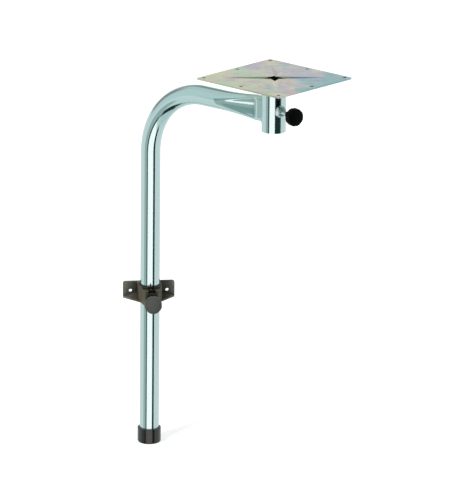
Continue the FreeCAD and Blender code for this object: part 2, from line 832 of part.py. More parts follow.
def make_clamp_shoe():
    """Shoe that the bracket's screw presses on the collar's bush, hollowed to fit round it."""
    body = new_body("clamp_shoe")
    plan = sketch_on(body, "XY_Plane", "shoe_plan", f"{POCKET_FLOOR} + pocket_gap - {BRACKET_SCREW_HEIGHT}")
    rectangle(plan, "tube_radius / 2", SHOE_BACK, "-shoe_half_width", "shoe_half_width")
    pad(body, plan, f"{BOSS_TOP} - shoe_top_gap - {POCKET_FLOOR} - pocket_gap")
    hollow = sketch_on(body, "XY_Plane", "shoe_hollow")
    circle(hollow, "0", "0", SEAT)
    pocket_through(body, hollow)
    place_on_bracket_screw(body)
    return body


def make_clamp_slug():
    """Slug in the socket's threaded hole, between the screw and the bush."""
    body = new_body("clamp_slug")
    section = sketch_on(body, "XZ_Plane", "slug_section")
    rectangle(section, "tube_radius", SLUG_BACK, "0", "screw_radius")
    turned(body, section, "H_Axis")
    hollow = sketch_on(body, "XY_Plane", "slug_hollow")
    circle(hollow, "0", "0", SEAT)
    pocket_through(body, hollow)
    place_on_socket_screw(body)
    return body


def make_screw(name, tip, neck):
    """Clamp screw from its bevelled tip to its end inside the knob."""
    body = new_body(name)
    section = sketch_on(body, "XZ_Plane", name + "_section")
    start, end = f"{tip} + slide_gap", f"{neck} + screw_grip"
    outline(section, [
        (start, "0"),
        (start, "screw_radius - screw_tip_bevel"),
        (start + " + screw_tip_bevel", "screw_radius"),
        (end, "screw_radius"),
        (end, "0"),
    ])
    turned(body, section, "H_Axis")
    return body


def make_knob(name, neck):
    """Hand knob moulded on a screw's end: a tapered neck and a shallow-lobed disc."""
    body = new_body(name)
    section = sketch_on(body, "XZ_Plane", name + "_section")
    back = f"{neck} + knob_neck"
    front = f"{back} + knob_thickness"
    outline(section, [
        (neck, "screw_radius"),
        (neck, "knob_neck_radius"),
        (f"{back} - knob_shoulder", "knob_neck_radius + knob_shoulder / 2"),
        (back, "knob_radius"),
        (front, "knob_radius"),
        (front, "knob_crown_radius"),
        (front + " + knob_crown", "knob_crown_radius - knob_crown"),
        (front + " + knob_crown", "0"),
        (f"{neck} + screw_grip", "0"),
        (f"{neck} + screw_grip", "screw_radius"),
    ])
    disc = turned(body, section, "H_Axis")
    round_edges(body, disc, "knob_rounding", ring_at("knob_radius", "X", front), name + "_front_edge")
    lobe = sketch_on(body, "YZ_Plane", name + "_lobe")
    circle(lobe, "0", "knob_radius + lobe_radius - lobe_depth", "lobe_radius")
    around(body, pocket_through(body, lobe), KNOB_LOBES, "X_Axis", name + "_lobes")
    return body


def make_clamp_hardware(place, screw_name, knob_name, tip, neck):
    """Screw and knob of one clamp, laid along it."""
    pieces = [make_screw(screw_name, tip, neck), make_knob(knob_name, neck)]
    for piece in pieces:
        place(piece)
    return pieces


# Assembly

def make_all():
    """Every sub-part of the pedestal."""
    fill_sheet()
    plate = make_table_plate()
    pieces = [make_leg_tube(), make_foot_cap(), make_arm_weld(), make_socket_tube(), make_weld_nut(),
              make_nut_weld(), make_socket_bush(), plate, make_spigot(plate), make_spigot_weld(plate),
              make_wall_bracket(), make_clamp_nut(), make_clamp_shoe(), make_collar_bush(), make_clamp_slug()]
    pieces += make_clamp_hardware(place_on_bracket_screw, "bracket_screw", "bracket_knob", SHOE_BACK, BRACKET_NECK)
    pieces += make_clamp_hardware(place_on_socket_screw, "socket_screw", "socket_knob", SLUG_BACK, SOCKET_NECK)
    doc.recompute()
    return pieces


def check(pieces):
    """Stop before anything is written if an object failed or a sub-part has no sound solid."""
    for item in doc.Objects:
        if "Invalid" in item.State or "Error" in item.State:
            raise RuntimeError(f"{item.Name} failed: {item.State}")
    for piece in pieces:
        if piece.Shape.isNull() or not piece.Shape.isValid() or len(piece.Shape.Solids) != 1:
            raise RuntimeError(f"{piece.Label} is not one sound solid")


def export(pieces):
    os.makedirs("parts", exist_ok=True)
    for piece in pieces:
        piece.Shape.exportStep(f"parts/{piece.Label}.step")
        print(f"{piece.Label}: {piece.Shape.Volume / 1000:.2f} cm3")


all_pieces = make_all()
check(all_pieces)
export(all_pieces)
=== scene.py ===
# %% [markdown]
# # A swivel table pedestal
#
# The object is a table leg for a cabin. A bent, bright-plated tube stands on the floor and is
# clamped in a dark moulded wall bracket. The tube's other end is pinched flat and welded to an
# upright socket. A square pressed plate turns in that socket, and a table top is screwed to it.
#
# The solid model already exists, in metres, with every piece in its place. This lesson loads it,
# dresses it in procedural finishes, remakes the few pieces that need finer shapes, and lights it.

# %% Load the solid model
import math

import bpy
from mathutils import Matrix, Vector


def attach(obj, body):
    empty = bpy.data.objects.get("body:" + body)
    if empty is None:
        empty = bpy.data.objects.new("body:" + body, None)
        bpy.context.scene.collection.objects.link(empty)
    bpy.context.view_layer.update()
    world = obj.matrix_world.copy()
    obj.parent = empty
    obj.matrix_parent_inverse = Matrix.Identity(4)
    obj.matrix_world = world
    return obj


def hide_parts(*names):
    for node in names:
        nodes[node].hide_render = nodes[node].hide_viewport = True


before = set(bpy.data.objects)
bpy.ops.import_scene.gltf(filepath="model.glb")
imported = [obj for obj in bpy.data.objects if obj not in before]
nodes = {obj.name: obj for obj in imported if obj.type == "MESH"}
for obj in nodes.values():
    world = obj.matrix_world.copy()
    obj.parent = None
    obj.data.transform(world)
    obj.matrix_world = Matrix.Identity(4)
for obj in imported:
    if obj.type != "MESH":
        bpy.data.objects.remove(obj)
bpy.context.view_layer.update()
print("pieces in the solid model:", len(nodes))

# %% [markdown]
# A new object holds some data, such as a mesh or a lamp, and is linked to the collection. An
# operator can add one too, but it must then be fetched as the active object, as the floor is.

# %% Helper that adds an object
def put(name, data):
    """A new object in the scene, at the origin."""
    made = bpy.data.objects.new(name, data)
    bpy.context.collection.objects.link(made)
    return made


print("object helper: put")

# %% [markdown]
# ## Camera
#
# The photograph was taken through a long lens from well above the object, which keeps upright
# lines nearly parallel. The camera could be aimed with a constraint. Writing its place, heading
# and tilt as numbers is plainer, and gives the same view on every run.

# %% Place the camera
IMAGE_HEIGHT = 483
FOCAL_PIXELS = 4500
SENSOR = 36
CAMERA_PLACE = Vector((-0.794, -7.672, 2.637))
CAMERA_HEADING = math.radians(7)
CAMERA_TILT = math.radians(16.33)
CAMERA_ROLL = math.radians(0.62)
FAR_CLIP = 60

lens = bpy.data.cameras.new("camera")
lens.sensor_fit = "VERTICAL"
lens.sensor_height = SENSOR
lens.lens = SENSOR * FOCAL_PIXELS / IMAGE_HEIGHT
lens.clip_end = FAR_CLIP
camera = put("camera", lens)
level = Vector((math.sin(CAMERA_HEADING), math.cos(CAMERA_HEADING), 0))
forward = level * math.cos(CAMERA_TILT) - Vector((0, 0, math.sin(CAMERA_TILT)))
right = Vector((level.y, -level.x, 0))
upward = right.cross(forward)
tilted_right = right * math.cos(CAMERA_ROLL) + upward * math.sin(CAMERA_ROLL)
tilted_up = upward * math.cos(CAMERA_ROLL) - right * math.sin(CAMERA_ROLL)
turn = Matrix((tilted_right, tilted_up, -forward)).transposed()
camera.matrix_world = Matrix.Translation(CAMERA_PLACE) @ turn.to_4x4()
bpy.context.scene.camera = camera
print("lens:", round(lens.lens, 1), "mm")

# %% [markdown]
# ## Building nodes
#
# A shader tree and a Geometry Nodes tree are both a list of nodes and of links between their
# sockets. Writing both out in full would bury the idea in repeats. The first helper adds one node:
# it sets the node's own settings, then fills each input with a plain value or links it. The others
# use it for the few nodes that come back in almost every tree.

# %% Helpers that add nodes
def add(tree, kind, inputs=None, **settings):
    made = tree.nodes.new(kind)
    for name, value in settings.items():
        setattr(made, name, value)
    for name, value in (inputs or {}).items():
        if isinstance(value, bpy.types.NodeSocket):
            tree.links.new(value, made.inputs[name])
        else:
            made.inputs[name].default_value = value
    return made


def maths(tree, operation, first, second=0.0):
    """One sum of two values, and the socket that holds its answer."""
    return add(tree, "ShaderNodeMath", {0: first, 1: second}, operation=operation).outputs["Value"]


def times(tree, first, second):
    """One value times another."""
    return maths(tree, "MULTIPLY", first, second)


def vector_maths(tree, operation, *vectors):
    """One sum of vectors, and its output sockets."""
    return add(tree, "ShaderNodeVectorMath", dict(enumerate(vectors)), operation=operation).outputs


def vector(tree, x=0.0, y=0.0, z=0.0):
    """A vector of three values."""
    return add(tree, "ShaderNodeCombineXYZ", {"X": x, "Y": y, "Z": z}).outputs["Vector"]


def ramp(tree, factor, stops):
    """A colour ramp with stops of (place, colour)."""
    made = add(tree, "ShaderNodeValToRGB", {0: factor})
    elements = made.color_ramp.elements
    while len(elements) < len(stops):
        elements.new(0.5)
    for element, (place, colour) in zip(elements, stops):
        element.position = place
        element.color = (*colour, 1)
    return made.outputs["Color"]


def blend(tree, factor, first, second):
    """A mix of two colours."""
    inputs = {"Factor": factor, "A": first, "B": second}
    return add(tree, "ShaderNodeMix", inputs, data_type="RGBA").outputs["Result"]


def rescale(tree, value, start, end, low=0.0, high=1.0, **settings):
    """A value between start and end, laid between low and high. It stops at both."""
    limits = {"Value": value, "From Min": start, "From Max": end, "To Min": low, "To Max": high}
    return add(tree, "ShaderNodeMapRange", limits, **settings).outputs["Result"]


def noise(tree, place, scale, detail, roughness=0.5):
    """Cloudy values round a half. A larger scale makes a finer pattern."""
    inputs = {"Vector": place, "Scale": scale, "Detail": detail, "Roughness": roughness}
    return add(tree, "ShaderNodeTexNoise", inputs).outputs["Fac"]


def blank_material(name):
    """A material with an empty tree."""
    made = bpy.data.materials.new(name)
    made.use_nodes = True
    made.node_tree.nodes.clear()
    return made, made.node_tree


print("node helpers: add, maths, times, vector_maths, vector, ramp, blend, rescale, noise")

# %% [markdown]
# ## Light and surroundings
#
# Bright plating shows its surroundings more than its own colour. The camera sees a plain white
# room. Reflections see walls, because a mirror finish in a room of one white looks like paper. A
# real room could be modelled. It is cheaper to choose the colour by the direction of the ray,
# which adds no noise. Each wall is a ramp from the ground to overhead, and three ramps take over
# from each other as the ray turns from the sides to the far corners and to the back.

# %% Colours of the walls
ROOM_LOW = (0.48, 0.60, 0.58)
ROOM_SKIRT = (0.58, 0.69, 0.69)
ROOM_WALL = (0.71, 0.75, 0.76)
ROOM_PALE = (0.63, 0.71, 0.715)
ROOM_SIDE = (0.52, 0.655, 0.66)
ROOM_HIGH = (0.50, 0.59, 0.56)
ROOM_GREY = (0.27, 0.28, 0.275)
ROOM_BACK = (0.20, 0.31, 0.30)
ROOM_GLOW = (0.24, 0.245, 0.25, 1.0)
WHITE = (1.0, 1.0, 1.0, 1.0)

GROUND_STOPS = [(0.0, ROOM_LOW), (0.03, ROOM_LOW), (0.09, ROOM_SKIRT)]
SIDE_STOPS = GROUND_STOPS + [
    (0.34, ROOM_PALE), (0.40, ROOM_PALE), (0.46, ROOM_SIDE), (0.78, ROOM_SIDE), (0.92, ROOM_HIGH)]
CORNER_STOPS = GROUND_STOPS + [
    (0.34, ROOM_WALL), (0.48, ROOM_WALL), (0.52, ROOM_GREY), (0.70, ROOM_GREY), (0.80, ROOM_HIGH)]
BACK_STOPS = GROUND_STOPS + [
    (0.34, ROOM_WALL), (0.63, ROOM_WALL), (0.69, ROOM_BACK), (0.84, ROOM_BACK), (0.92, ROOM_HIGH)]
CORNER_FROM, CORNER_WHOLE = 0.35, 0.6
BACK_FROM, BACK_WHOLE = 0.88, 0.94
print("walls:", len(SIDE_STOPS), "stops each")

# %% World
world = bpy.data.worlds.new("studio")
bpy.context.scene.world = world
world.use_nodes = True
tree = world.node_tree
tree.nodes.clear()
direction = add(tree, "ShaderNodeTexCoord").outputs["Generated"]
height = add(tree, "ShaderNodeSeparateXYZ", {0: direction}).outputs["Z"]
share = rescale(tree, height, -1.0, 1.0)
side_wall = ramp(tree, share, SIDE_STOPS)
corner_wall = ramp(tree, share, CORNER_STOPS)
back_wall = ramp(tree, share, BACK_STOPS)
flat = vector_maths(tree, "MULTIPLY", direction, (1, 1, 0))["Vector"]
bearing = vector_maths(tree, "NORMALIZE", flat)["Vector"]
away = vector_maths(tree, "DOT_PRODUCT", bearing, level)["Value"]
to_corner = rescale(tree, away, CORNER_FROM, CORNER_WHOLE)
to_back = rescale(tree, away, BACK_FROM, BACK_WHOLE)
studio = blend(tree, to_back, blend(tree, to_corner, side_wall, corner_wall), back_wall)
looks = add(tree, "ShaderNodeLightPath")
seen = blend(tree, looks.outputs["Is Glossy Ray"], ROOM_GLOW, studio)
plain = maths(tree, "MAXIMUM", looks.outputs["Is Camera Ray"], looks.outputs["Is Transmission Ray"])
colour = blend(tree, plain, seen, WHITE)
background = add(tree, "ShaderNodeBackground", {"Color": colour, "Strength": 1.0})
add(tree, "ShaderNodeOutputWorld", {"Surface": background.outputs["Background"]})
bpy.context.scene.view_settings.view_transform = "Standard"
print("world: white to the camera, pale walls to reflections")

# %% [markdown]
# ## Cards round the object
#
# A photographer stands white and dark cards round a bright tube, so that it shows clean bands
# instead of the whole room. A wide white card stands near the camera. A dark card stands close on
# the right, with two paler wings that soften its edge on the socket. A grey-green card stands on
# the left, in a lower and an upper part, with a dark edge beside the white one. A small bright
# card draws the line along the pinched end's ridge, and a dark mat below makes the black lens
# under the bend. The bands could be painted on the tube, but then they would stay put as it turns.
# The cards stand at real distances, so the leg and the socket mirror them at different widths.
# Only reflections see them.

# %% Helpers for reflection cards
def sheet(name, corners, colour):
    """A glowing sheet that only reflections see. Its corners go once round."""
    mesh = bpy.data.meshes.new(name)
    mesh.from_pydata(corners, [], [tuple(range(len(corners)))])
    made = put(name, mesh)
    glow, tree = blank_material(name)
    light = add(tree, "ShaderNodeEmission", {"Color": (*colour, 1.0), "Strength": 1.0})
    add(tree, "ShaderNodeOutputMaterial", {"Surface": light.outputs["Emission"]})
    mesh.materials.append(glow)
    made.visible_camera = made.visible_diffuse = False
    made.visible_shadow = made.visible_transmission = False


def on_plan(across, nearer, height):
    """A place given as right of the leg's axis, towards the camera from it, and up."""
    place = right * across - level * nearer
    return place.x, place.y, height


def card(name, start, end, low, high, colour):
    """An upright sheet between two places on the plan."""
    foot = [on_plan(*start, low), on_plan(*end, low)]
    top = [on_plan(*end, high), on_plan(*start, high)]
    sheet(name, foot + top, colour)


def mat(name, places, height, colour):
    """A level sheet. It may lie below the floor, which reflections look through."""
    sheet(name, [on_plan(*place, height) for place in places], colour)


print("card helpers: sheet, card, mat")

# %% Reflection cards
CARD_FOOT = -0.9
SIDE_FOOT = -0.3
WING_FOOT = 0.45
CARD_TOP = 0.74
DARK_END = (0.537, 0.397)
WING_END = (0.60, 0.377)
GREEN_START = (-0.867, 0.898)
GREEN_END = (-1.64, 0.478)
BRIGHT = (1.1, 1.1, 1.1)
MAT_COLOUR = (0.012, 0.028, 0.024)
MAT_CORNERS = [
    (-0.60, 0.50), (-0.38, 0.12), (-0.28, -0.16), (-0.06, -0.10), (-0.08, 0.20), (-0.34, 0.60)]

CARDS = [
    ("white_card", (-0.677, 1.172), (1.2, 1.3), CARD_FOOT, CARD_TOP, BRIGHT),
    ("dark_card", (0.254, 0.4235), DARK_END, SIDE_FOOT, CARD_TOP, (0.012, 0.028, 0.027)),
    ("dark_wing", DARK_END, WING_END, WING_FOOT, CARD_TOP, (0.03, 0.06, 0.055)),
    ("dusk_wing", WING_END, (0.68, 0.34), WING_FOOT, CARD_TOP, (0.17, 0.27, 0.25)),
    ("crest_card", (-0.125, 0.245), (-0.075, 0.325), 0.478, 0.535, BRIGHT),
    ("green_card", GREEN_START, GREEN_END, CARD_FOOT, WING_FOOT, (0.34, 0.44, 0.42)),
    ("green_card_top", GREEN_START, GREEN_END, WING_FOOT, 1.02, (0.22, 0.35, 0.33)),
    ("green_card_edge", (-0.68, 1.17), GREEN_START, CARD_FOOT, CARD_TOP, (0.05, 0.085, 0.08)),
]
for values in CARDS:
    card(*values)
mat("dark_mat", MAT_CORNERS, SIDE_FOOT, MAT_COLOUR)
print("cards:", len(CARDS), "and a mat")

# %% [markdown]
# ## Lamps
#
# Mouldings need a soft key light, so that their edges and grain show. Sun and point lamps are
# simpler, but their shadows are hard. Large area lamps give soft shading. They light only matt
# surfaces, since the cards already serve the bright ones.

# %% Lamps
LAMP_AIM = Vector((0.1, -0.1, 0.4))


def lamp(name, place, size, power):
    light = bpy.data.lights.new(name, "AREA")
    light.size = size
    light.energy = power
    made = put(name, light)
    aim = LAMP_AIM - Vector(place)
    heading = aim.to_track_quat("-Z", "Y").to_matrix().to_4x4()
    made.matrix_world = Matrix.Translation(place) @ heading
    made.visible_glossy = False
    print(name, "gives", power, "W")


lamp("key_lamp", (-1.5, -1.5, 2.7), 0.8, 82)
lamp("fill_lamp", (2.4, -1.8, 1.4), 1.6, 14)

# %% [markdown]
# ## Floor
#
# The photograph's background is plain white. More light on a pale floor would make it white, and
# the object with it. A floor that shines a little of its own light to the camera looks white too,
# and still keeps the soft shadow under the foot, near which it shines less.

# %% Floor
FLOOR_SIZE = 30
FLOOR_HEIGHT = -0.0002
FLOOR_COLOUR = (0.6, 0.6, 0.6, 1.0)
FLOOR_GLOW, NEAR = 0.74, 0.3
FAR_GLOW, FAR = 1.0, 1.5

bpy.ops.mesh.primitive_plane_add(size=FLOOR_SIZE, location=(0, 0, FLOOR_HEIGHT))
floor = bpy.context.object
floor.name = "floor"
floor.visible_glossy = False
floor_finish, tree = blank_material("pale_floor")
matt = add(tree, "ShaderNodeBsdfDiffuse", {"Color": FLOOR_COLOUR})
to_camera = add(tree, "ShaderNodeLightPath").outputs["Is Camera Ray"]
place = add(tree, "ShaderNodeTexCoord").outputs["Object"]
distance = vector_maths(tree, "LENGTH", place)["Value"]
glow = rescale(tree, distance, NEAR, FAR, FLOOR_GLOW, FAR_GLOW, interpolation_type="SMOOTHSTEP")
strength = times(tree, to_camera, glow)
light = add(tree, "ShaderNodeEmission", {"Color": WHITE, "Strength": strength})
both = add(tree, "ShaderNodeAddShader", {0: matt.outputs["BSDF"], 1: light.outputs["Emission"]})
add(tree, "ShaderNodeOutputMaterial", {"Surface": both.outputs["Shader"]})
floor.data.materials.append(floor_finish)
print("floor glows by", FLOOR_GLOW, "near the foot and", FAR_GLOW, "far from it")

# %% [markdown]
# ## Effects that several finishes share
#
# Real surfaces are never one even colour. Five effects are wanted in more than one finish: clouds
# of tone, fine moulded grain, lines left by drawing the tube, edges painted paler, partly as wear
# and partly as a painted highlight, and painted shade in hollows. Each could be built again in
# every material. A node group is built once and hands out values, and each material decides what to
# do with them.

# %% Helper for node groups
def effect(name, inputs, outputs):
    """An empty shader node group. Inputs are (name, socket kind, default), outputs (name, kind)."""
    group = bpy.data.node_groups.new(name, "ShaderNodeTree")
    for label, kind, default in inputs:
        socket = group.interface.new_socket(label, in_out="INPUT", socket_type=kind)
        if default is not None:
            socket.default_value = default
    for label, kind in outputs:
        group.interface.new_socket(label, in_out="OUTPUT", socket_type=kind)
    print("effect:", name)
    return group, add(group, "NodeGroupInput").outputs


VALUE, VECTOR = "NodeSocketFloat", "NodeSocketVector"

# %% Clouds of tone
clouds, given = effect(
    "clouds", [("Place", VECTOR, None), ("Size", VALUE, 0.02), ("Contrast", VALUE, 2.0)],
    [("Tone", VALUE)])
cloud = noise(clouds, given["Place"], maths(clouds, "DIVIDE", 1.0, given["Size"]), 4.0, 0.55)
spread = times(clouds, maths(clouds, "SUBTRACT", cloud, 0.5), given["Contrast"])
total = maths(clouds, "ADD", spread, 0.5)
tone = add(clouds, "ShaderNodeClamp", {"Value": total}).outputs["Result"]
add(clouds, "NodeGroupOutput", {"Tone": tone})

# %% Moulded grain
grain, given = effect("moulded_grain", [("Place", VECTOR, None), ("Size", VALUE, 0.0007)],
                      [("Height", VALUE), ("Speckle", VALUE)])
scale = maths(grain, "DIVIDE", 1.0, given["Size"])
cells = add(grain, "ShaderNodeTexVoronoi", {"Vector": given["Place"], "Scale": scale},
            feature="SMOOTH_F1").outputs["Distance"]
fine = noise(grain, given["Place"], times(grain, scale, 0.45), 3.0)
height = maths(grain, "ADD", times(grain, cells, 0.6), fine)
add(grain, "NodeGroupOutput", {"Height": height, "Speckle": fine})

# %% Drawn lines
lines, given = effect(
    "drawn_lines", [("Place", VECTOR, None), ("Round", VALUE, 260.0), ("Along", VALUE, 3.0)],
    [("Height", VALUE), ("Tone", VALUE)])
stretch = vector(lines, given["Round"], given["Round"], given["Along"])
drawn = vector_maths(lines, "MULTIPLY", given["Place"], stretch)["Vector"]
streak = noise(lines, drawn, 1.0, 3.0, 0.6)
broad = noise(lines, drawn, 0.12, 2.0)
tone = times(lines, maths(lines, "ADD", streak, broad), 0.5)
add(lines, "NodeGroupOutput", {"Height": streak, "Tone": tone})

# %% Worn and highlit edges
FLAT_AGREES, EDGE_AGREES = 0.995, 0.9

worn_highlit, given = effect("worn_highlit_edges", [("Reach", VALUE, 0.001), ("Patchiness", VALUE, None)],
                       [("Mask", VALUE)])
# Edges are painted paler: partly wear, partly a painted highlight.
soft = add(worn_highlit, "ShaderNodeBevel", {"Radius": given["Reach"]}, samples=6).outputs["Normal"]
hard = add(worn_highlit, "ShaderNodeNewGeometry").outputs["Normal"]
agree = vector_maths(worn_highlit, "DOT_PRODUCT", soft, hard)["Value"]
edge = rescale(worn_highlit, agree, FLAT_AGREES, EDGE_AGREES)
add(worn_highlit, "NodeGroupOutput", {"Mask": times(worn_highlit, edge, given["Patchiness"])})

# %% Shade in hollows
hollows, given = effect("shade_in_hollows", [("Reach", VALUE, 0.01), ("Depth", VALUE, 1.0)],
                        [("Open", VALUE)])
openness = add(hollows, "ShaderNodeAmbientOcclusion", {"Distance": given["Reach"]},
               samples=8).outputs["AO"]
add(hollows, "NodeGroupOutput", {"Open": maths(hollows, "POWER", openness, given["Depth"])})

# %% [markdown]
# ## Finishes
#
# Each finish is one material around one Principled shader. What is the same all over the surface
# is a plain number on the shader. What changes over it comes from the effects. Read from the
# world's coordinates, a pattern would slide when its piece moves, so it reads the piece's own.

# %% Helpers for finishes
def use(tree, group, **inputs):
    """A group inside a material, with its inputs filled, and its output sockets."""
    filled = {name.capitalize(): value for name, value in inputs.items()}
    return add(tree, "ShaderNodeGroup", filled, node_tree=group).outputs


def start_finish(name, **plain_inputs):
    """A material with a Principled shader, and where its pattern is read."""
    made, tree = blank_material(name)
    inputs = {label.replace("_", " "): value for label, value in plain_inputs.items()}
    shader = add(tree, "ShaderNodeBsdfPrincipled", inputs)
    add(tree, "ShaderNodeOutputMaterial", {"Surface": shader.outputs["BSDF"]})
    return made, tree, shader, add(tree, "ShaderNodeTexCoord").outputs["Object"]


def spread_roughness(tree, shader, tone, low, high):
    """Let the roughness follow a tone between two limits."""
    tree.links.new(rescale(tree, tone, 0.0, 1.0, low, high), shader.inputs["Roughness"])


def raise_surface(tree, shader, height, depth):
    """Let a height in the pattern tilt the surface. Depth is in metres."""
    bump = add(tree, "ShaderNodeBump", {"Height": height, "Distance": depth, "Strength": 1.0})
    tree.links.new(bump.outputs["Normal"], shader.inputs["Normal"])


def paint(tree, shader, colour):
    """Let a colour that changes over the surface be the shader's own."""
    tree.links.new(colour, shader.inputs["Base Color"])


print("finish helpers: use, start_finish, paint, spread_roughness, raise_surface")

# %% [markdown]
# ### Bright zinc
#
# The tubes are cold-drawn steel with bright zinc plating. It mirrors sharply, has a cool cast, and
# keeps faint lines along the tube. The straight tubes need only stretch the pattern upwards. The
# leg's tube bends, so its mesh carries a map of round and along. It also carries an attribute that
# marks where painted shade darkens the plating, in the pinched end's corner.

# %% Bright zinc
ZINC = (0.80, 0.93, 0.92, 1.0)
ZINC_DULL = (0.73, 0.86, 0.86, 1.0)
PAINTED_RECESS_SHADE = (0.30, 0.42, 0.40, 1.0)
LINE_DEPTH = 0.0000012


def zinc(name, map_name=None):
    """Bright zinc, read from a map of the tube where there is one."""
    made, tree, shader, place = start_finish(name, Metallic=1.0)
    if map_name:
        place = add(tree, "ShaderNodeUVMap", uv_map=map_name).outputs["UV"]
        drawn = use(tree, lines, place=place, round=90.0, along=5.0)
    else:
        drawn = use(tree, lines, place=place, round=700.0, along=6.0)
    colour = blend(tree, drawn["Tone"], ZINC_DULL, ZINC)
    if map_name:
        # Painted shade: the zinc's colour darkens in the pinched end's corner, where the mesh marks
        # it.
        sunk = add(tree, "ShaderNodeAttribute", attribute_name="recess_shade").outputs["Fac"]
        colour = blend(tree, sunk, colour, PAINTED_RECESS_SHADE)
    paint(tree, shader, colour)
    spread_roughness(tree, shader, drawn["Tone"], 0.05, 0.13)
    raise_surface(tree, shader, drawn["Height"], LINE_DEPTH)
    return made


leg_zinc = zinc("zinc_leg", "tube_map")
tube_zinc = zinc("zinc_tube")
print("zinc finishes:", leg_zinc.name, tube_zinc.name)

# %% [markdown]
# ### Weld beads
#
# A bead is the same steel, melted and plated: duller than the tube, and rippled where the weld
# pool froze in steps. The ripples could be cut in the mesh. They are so fine that a bump will do.

# %% Weld zinc
RIPPLE_SCALE = 260.0
RIPPLE_DEPTH = 0.0004


def cloudy_metal(name, size, contrast, dark, bright, dull, sharp):
    """A metal whose colour and roughness drift together, and what more can be added to."""
    made, tree, shader, place = start_finish(name, Metallic=1.0)
    tone = use(tree, clouds, place=place, size=size, contrast=contrast)["Tone"]
    paint(tree, shader, blend(tree, tone, dark, bright))
    spread_roughness(tree, shader, tone, dull, sharp)
    return made, tree, shader, place


weld_zinc, tree, shader, place = cloudy_metal(
    "zinc_weld", 0.004, 2.2, (0.42, 0.52, 0.51, 1.0), (0.78, 0.9, 0.89, 1.0), 0.34, 0.18)
raise_surface(tree, shader, noise(tree, place, RIPPLE_SCALE, 1.0), RIPPLE_DEPTH)
print("weld finish:", weld_zinc.name)

# %% [markdown]
# ### Yellow chromate on the plate
#
# The plate is zinc with a passivating dip, which leaves a film about as thin as a wavelength of
# light. Its colour drifts between straw, rose, lilac and teal, in streaks that ran from the hole.
# A measured thin-film model could be used. Painting each colour through a soft mask of its own
# keeps it under control. The streaks follow the distance and bearing from the plate's middle, and
# the masks also lean to the side on which rose, lilac and teal gather.

# %% Streaks on the plate
PLATE_MIDDLE = Vector((0.192324, -0.206242, 0.726))
PLATE_HEADING = math.radians(-4)
STREAK_ROUND = 1.7
STREAK_ALONG = 14.0
WARP = (1.1, 1.1, 1.1)

chromate, tree, shader, place = start_finish("chromate_plate", Metallic=1.0)
centring = {"Vector": place, "Location": PLATE_MIDDLE, "Rotation": (0, 0, PLATE_HEADING)}
centred = add(tree, "ShaderNodeMapping", centring, vector_type="TEXTURE").outputs["Vector"]
axes = add(tree, "ShaderNodeSeparateXYZ", {0: centred}).outputs
bearing = maths(tree, "ARCTAN2", axes["Y"], axes["X"])
distance = vector_maths(tree, "LENGTH", centred)["Value"]
cosine = times(tree, maths(tree, "COSINE", bearing), STREAK_ROUND)
sine = times(tree, maths(tree, "SINE", bearing), STREAK_ROUND)
runs = vector(tree, cosine, sine, times(tree, distance, STREAK_ALONG))
swirl = add(tree, "ShaderNodeTexNoise", {"Vector": centred, "Scale": 11.0, "Detail": 2.0})
bent_runs = vector_maths(tree, "MULTIPLY_ADD", swirl.outputs["Color"], WARP, runs)["Vector"]
streaks = noise(tree, bent_runs, 2.3, 3.0, 0.55)
print("streaks run from", [round(value, 3) for value in PLATE_MIDDLE])

# %% Film colours and their masks
STRAW = (0.92, 0.82, 0.56, 1.0)
STRAW_GREEN = (0.70, 0.83, 0.58, 1.0)
ROSE = (0.86, 0.60, 0.68, 1.0)
LILAC = (0.65, 0.58, 0.82, 1.0)
TEAL_FILM = (0.32, 0.60, 0.62, 1.0)
HOLE_SHADE = (0.03, 0.035, 0.03, 1.0)
SIDE_LEAN = 1.5
FRONT_LEAN = -1.3
ROSE_SHARE, LILAC_SHARE, TEAL_SHARE = 0.9, 0.8, 0.9
ROLLED_SCALE = 900.0
ROLLED_DEPTH = 0.000004
side = times(tree, axes["X"], SIDE_LEAN)
front_side = times(tree, axes["Y"], FRONT_LEAN)


def film_mask(start, end, *parts):
    """Where a film colour shows: a sum of parts, turned into a soft edge."""
    total = parts[0]
    for part in parts[1:]:
        total = maths(tree, "ADD", total, part)
    return rescale(tree, total, start, end, interpolation_type="SMOOTHSTEP")


def drift(size, shift):
    """A cloud over the plate. The shift makes each one different."""
    moved = vector_maths(tree, "ADD", centred, shift)["Vector"]
    return noise(tree, moved, 1 / size, 4.0, 0.55)


straw = blend(tree, film_mask(0.36, 0.6, drift(0.09, (0.3, 0.1, 0.0))), STRAW_GREEN, STRAW)
rose = film_mask(0.42, 0.68, times(tree, side, 0.45), streaks)
lilac = film_mask(0.46, 0.70, side, drift(0.07, (0.0, 0.4, 0.0)))
front_lean = times(tree, front_side, 0.35)
teal = film_mask(0.52, 0.68, side, front_lean, drift(0.05, (0.7, 0.0, 0.0)))
film_colour = blend(tree, times(tree, rose, ROSE_SHARE), straw, ROSE)
film_colour = blend(tree, times(tree, lilac, LILAC_SHARE), film_colour, LILAC)
film_colour = blend(tree, times(tree, teal, TEAL_SHARE), film_colour, TEAL_FILM)
shade = use(tree, hollows, reach=0.006, depth=2.5)["Open"]
paint(tree, shader, blend(tree, shade, HOLE_SHADE, film_colour))
spread_roughness(tree, shader, streaks, 0.12, 0.26)
raise_surface(tree, shader, noise(tree, centred, ROLLED_SCALE, 2.0), ROLLED_DEPTH)
print("plate finish:", chromate.name)

# %% [markdown]
# ### Screws and nuts
#
# Screws are plated in a drum, so they are a little duller and patchier than the tube. The nut in
# the bracket and the slug in the socket are near black. Both are cloudy metals like the weld, with
# other colours, so the same function makes them.

# %% Screw zinc and dark nut
screw_zinc = cloudy_metal(
    "zinc_screw", 0.003, 2.0, (0.34, 0.42, 0.42, 1.0), (0.88, 0.95, 0.94, 1.0), 0.3, 0.14)[0]
dark_nut = cloudy_metal(
    "dark_nut", 0.002, 2.0, (0.02, 0.02, 0.02, 1.0), (0.06, 0.06, 0.06, 1.0), 0.5, 0.35)[0]
print("small finishes:", screw_zinc.name, dark_nut.name)
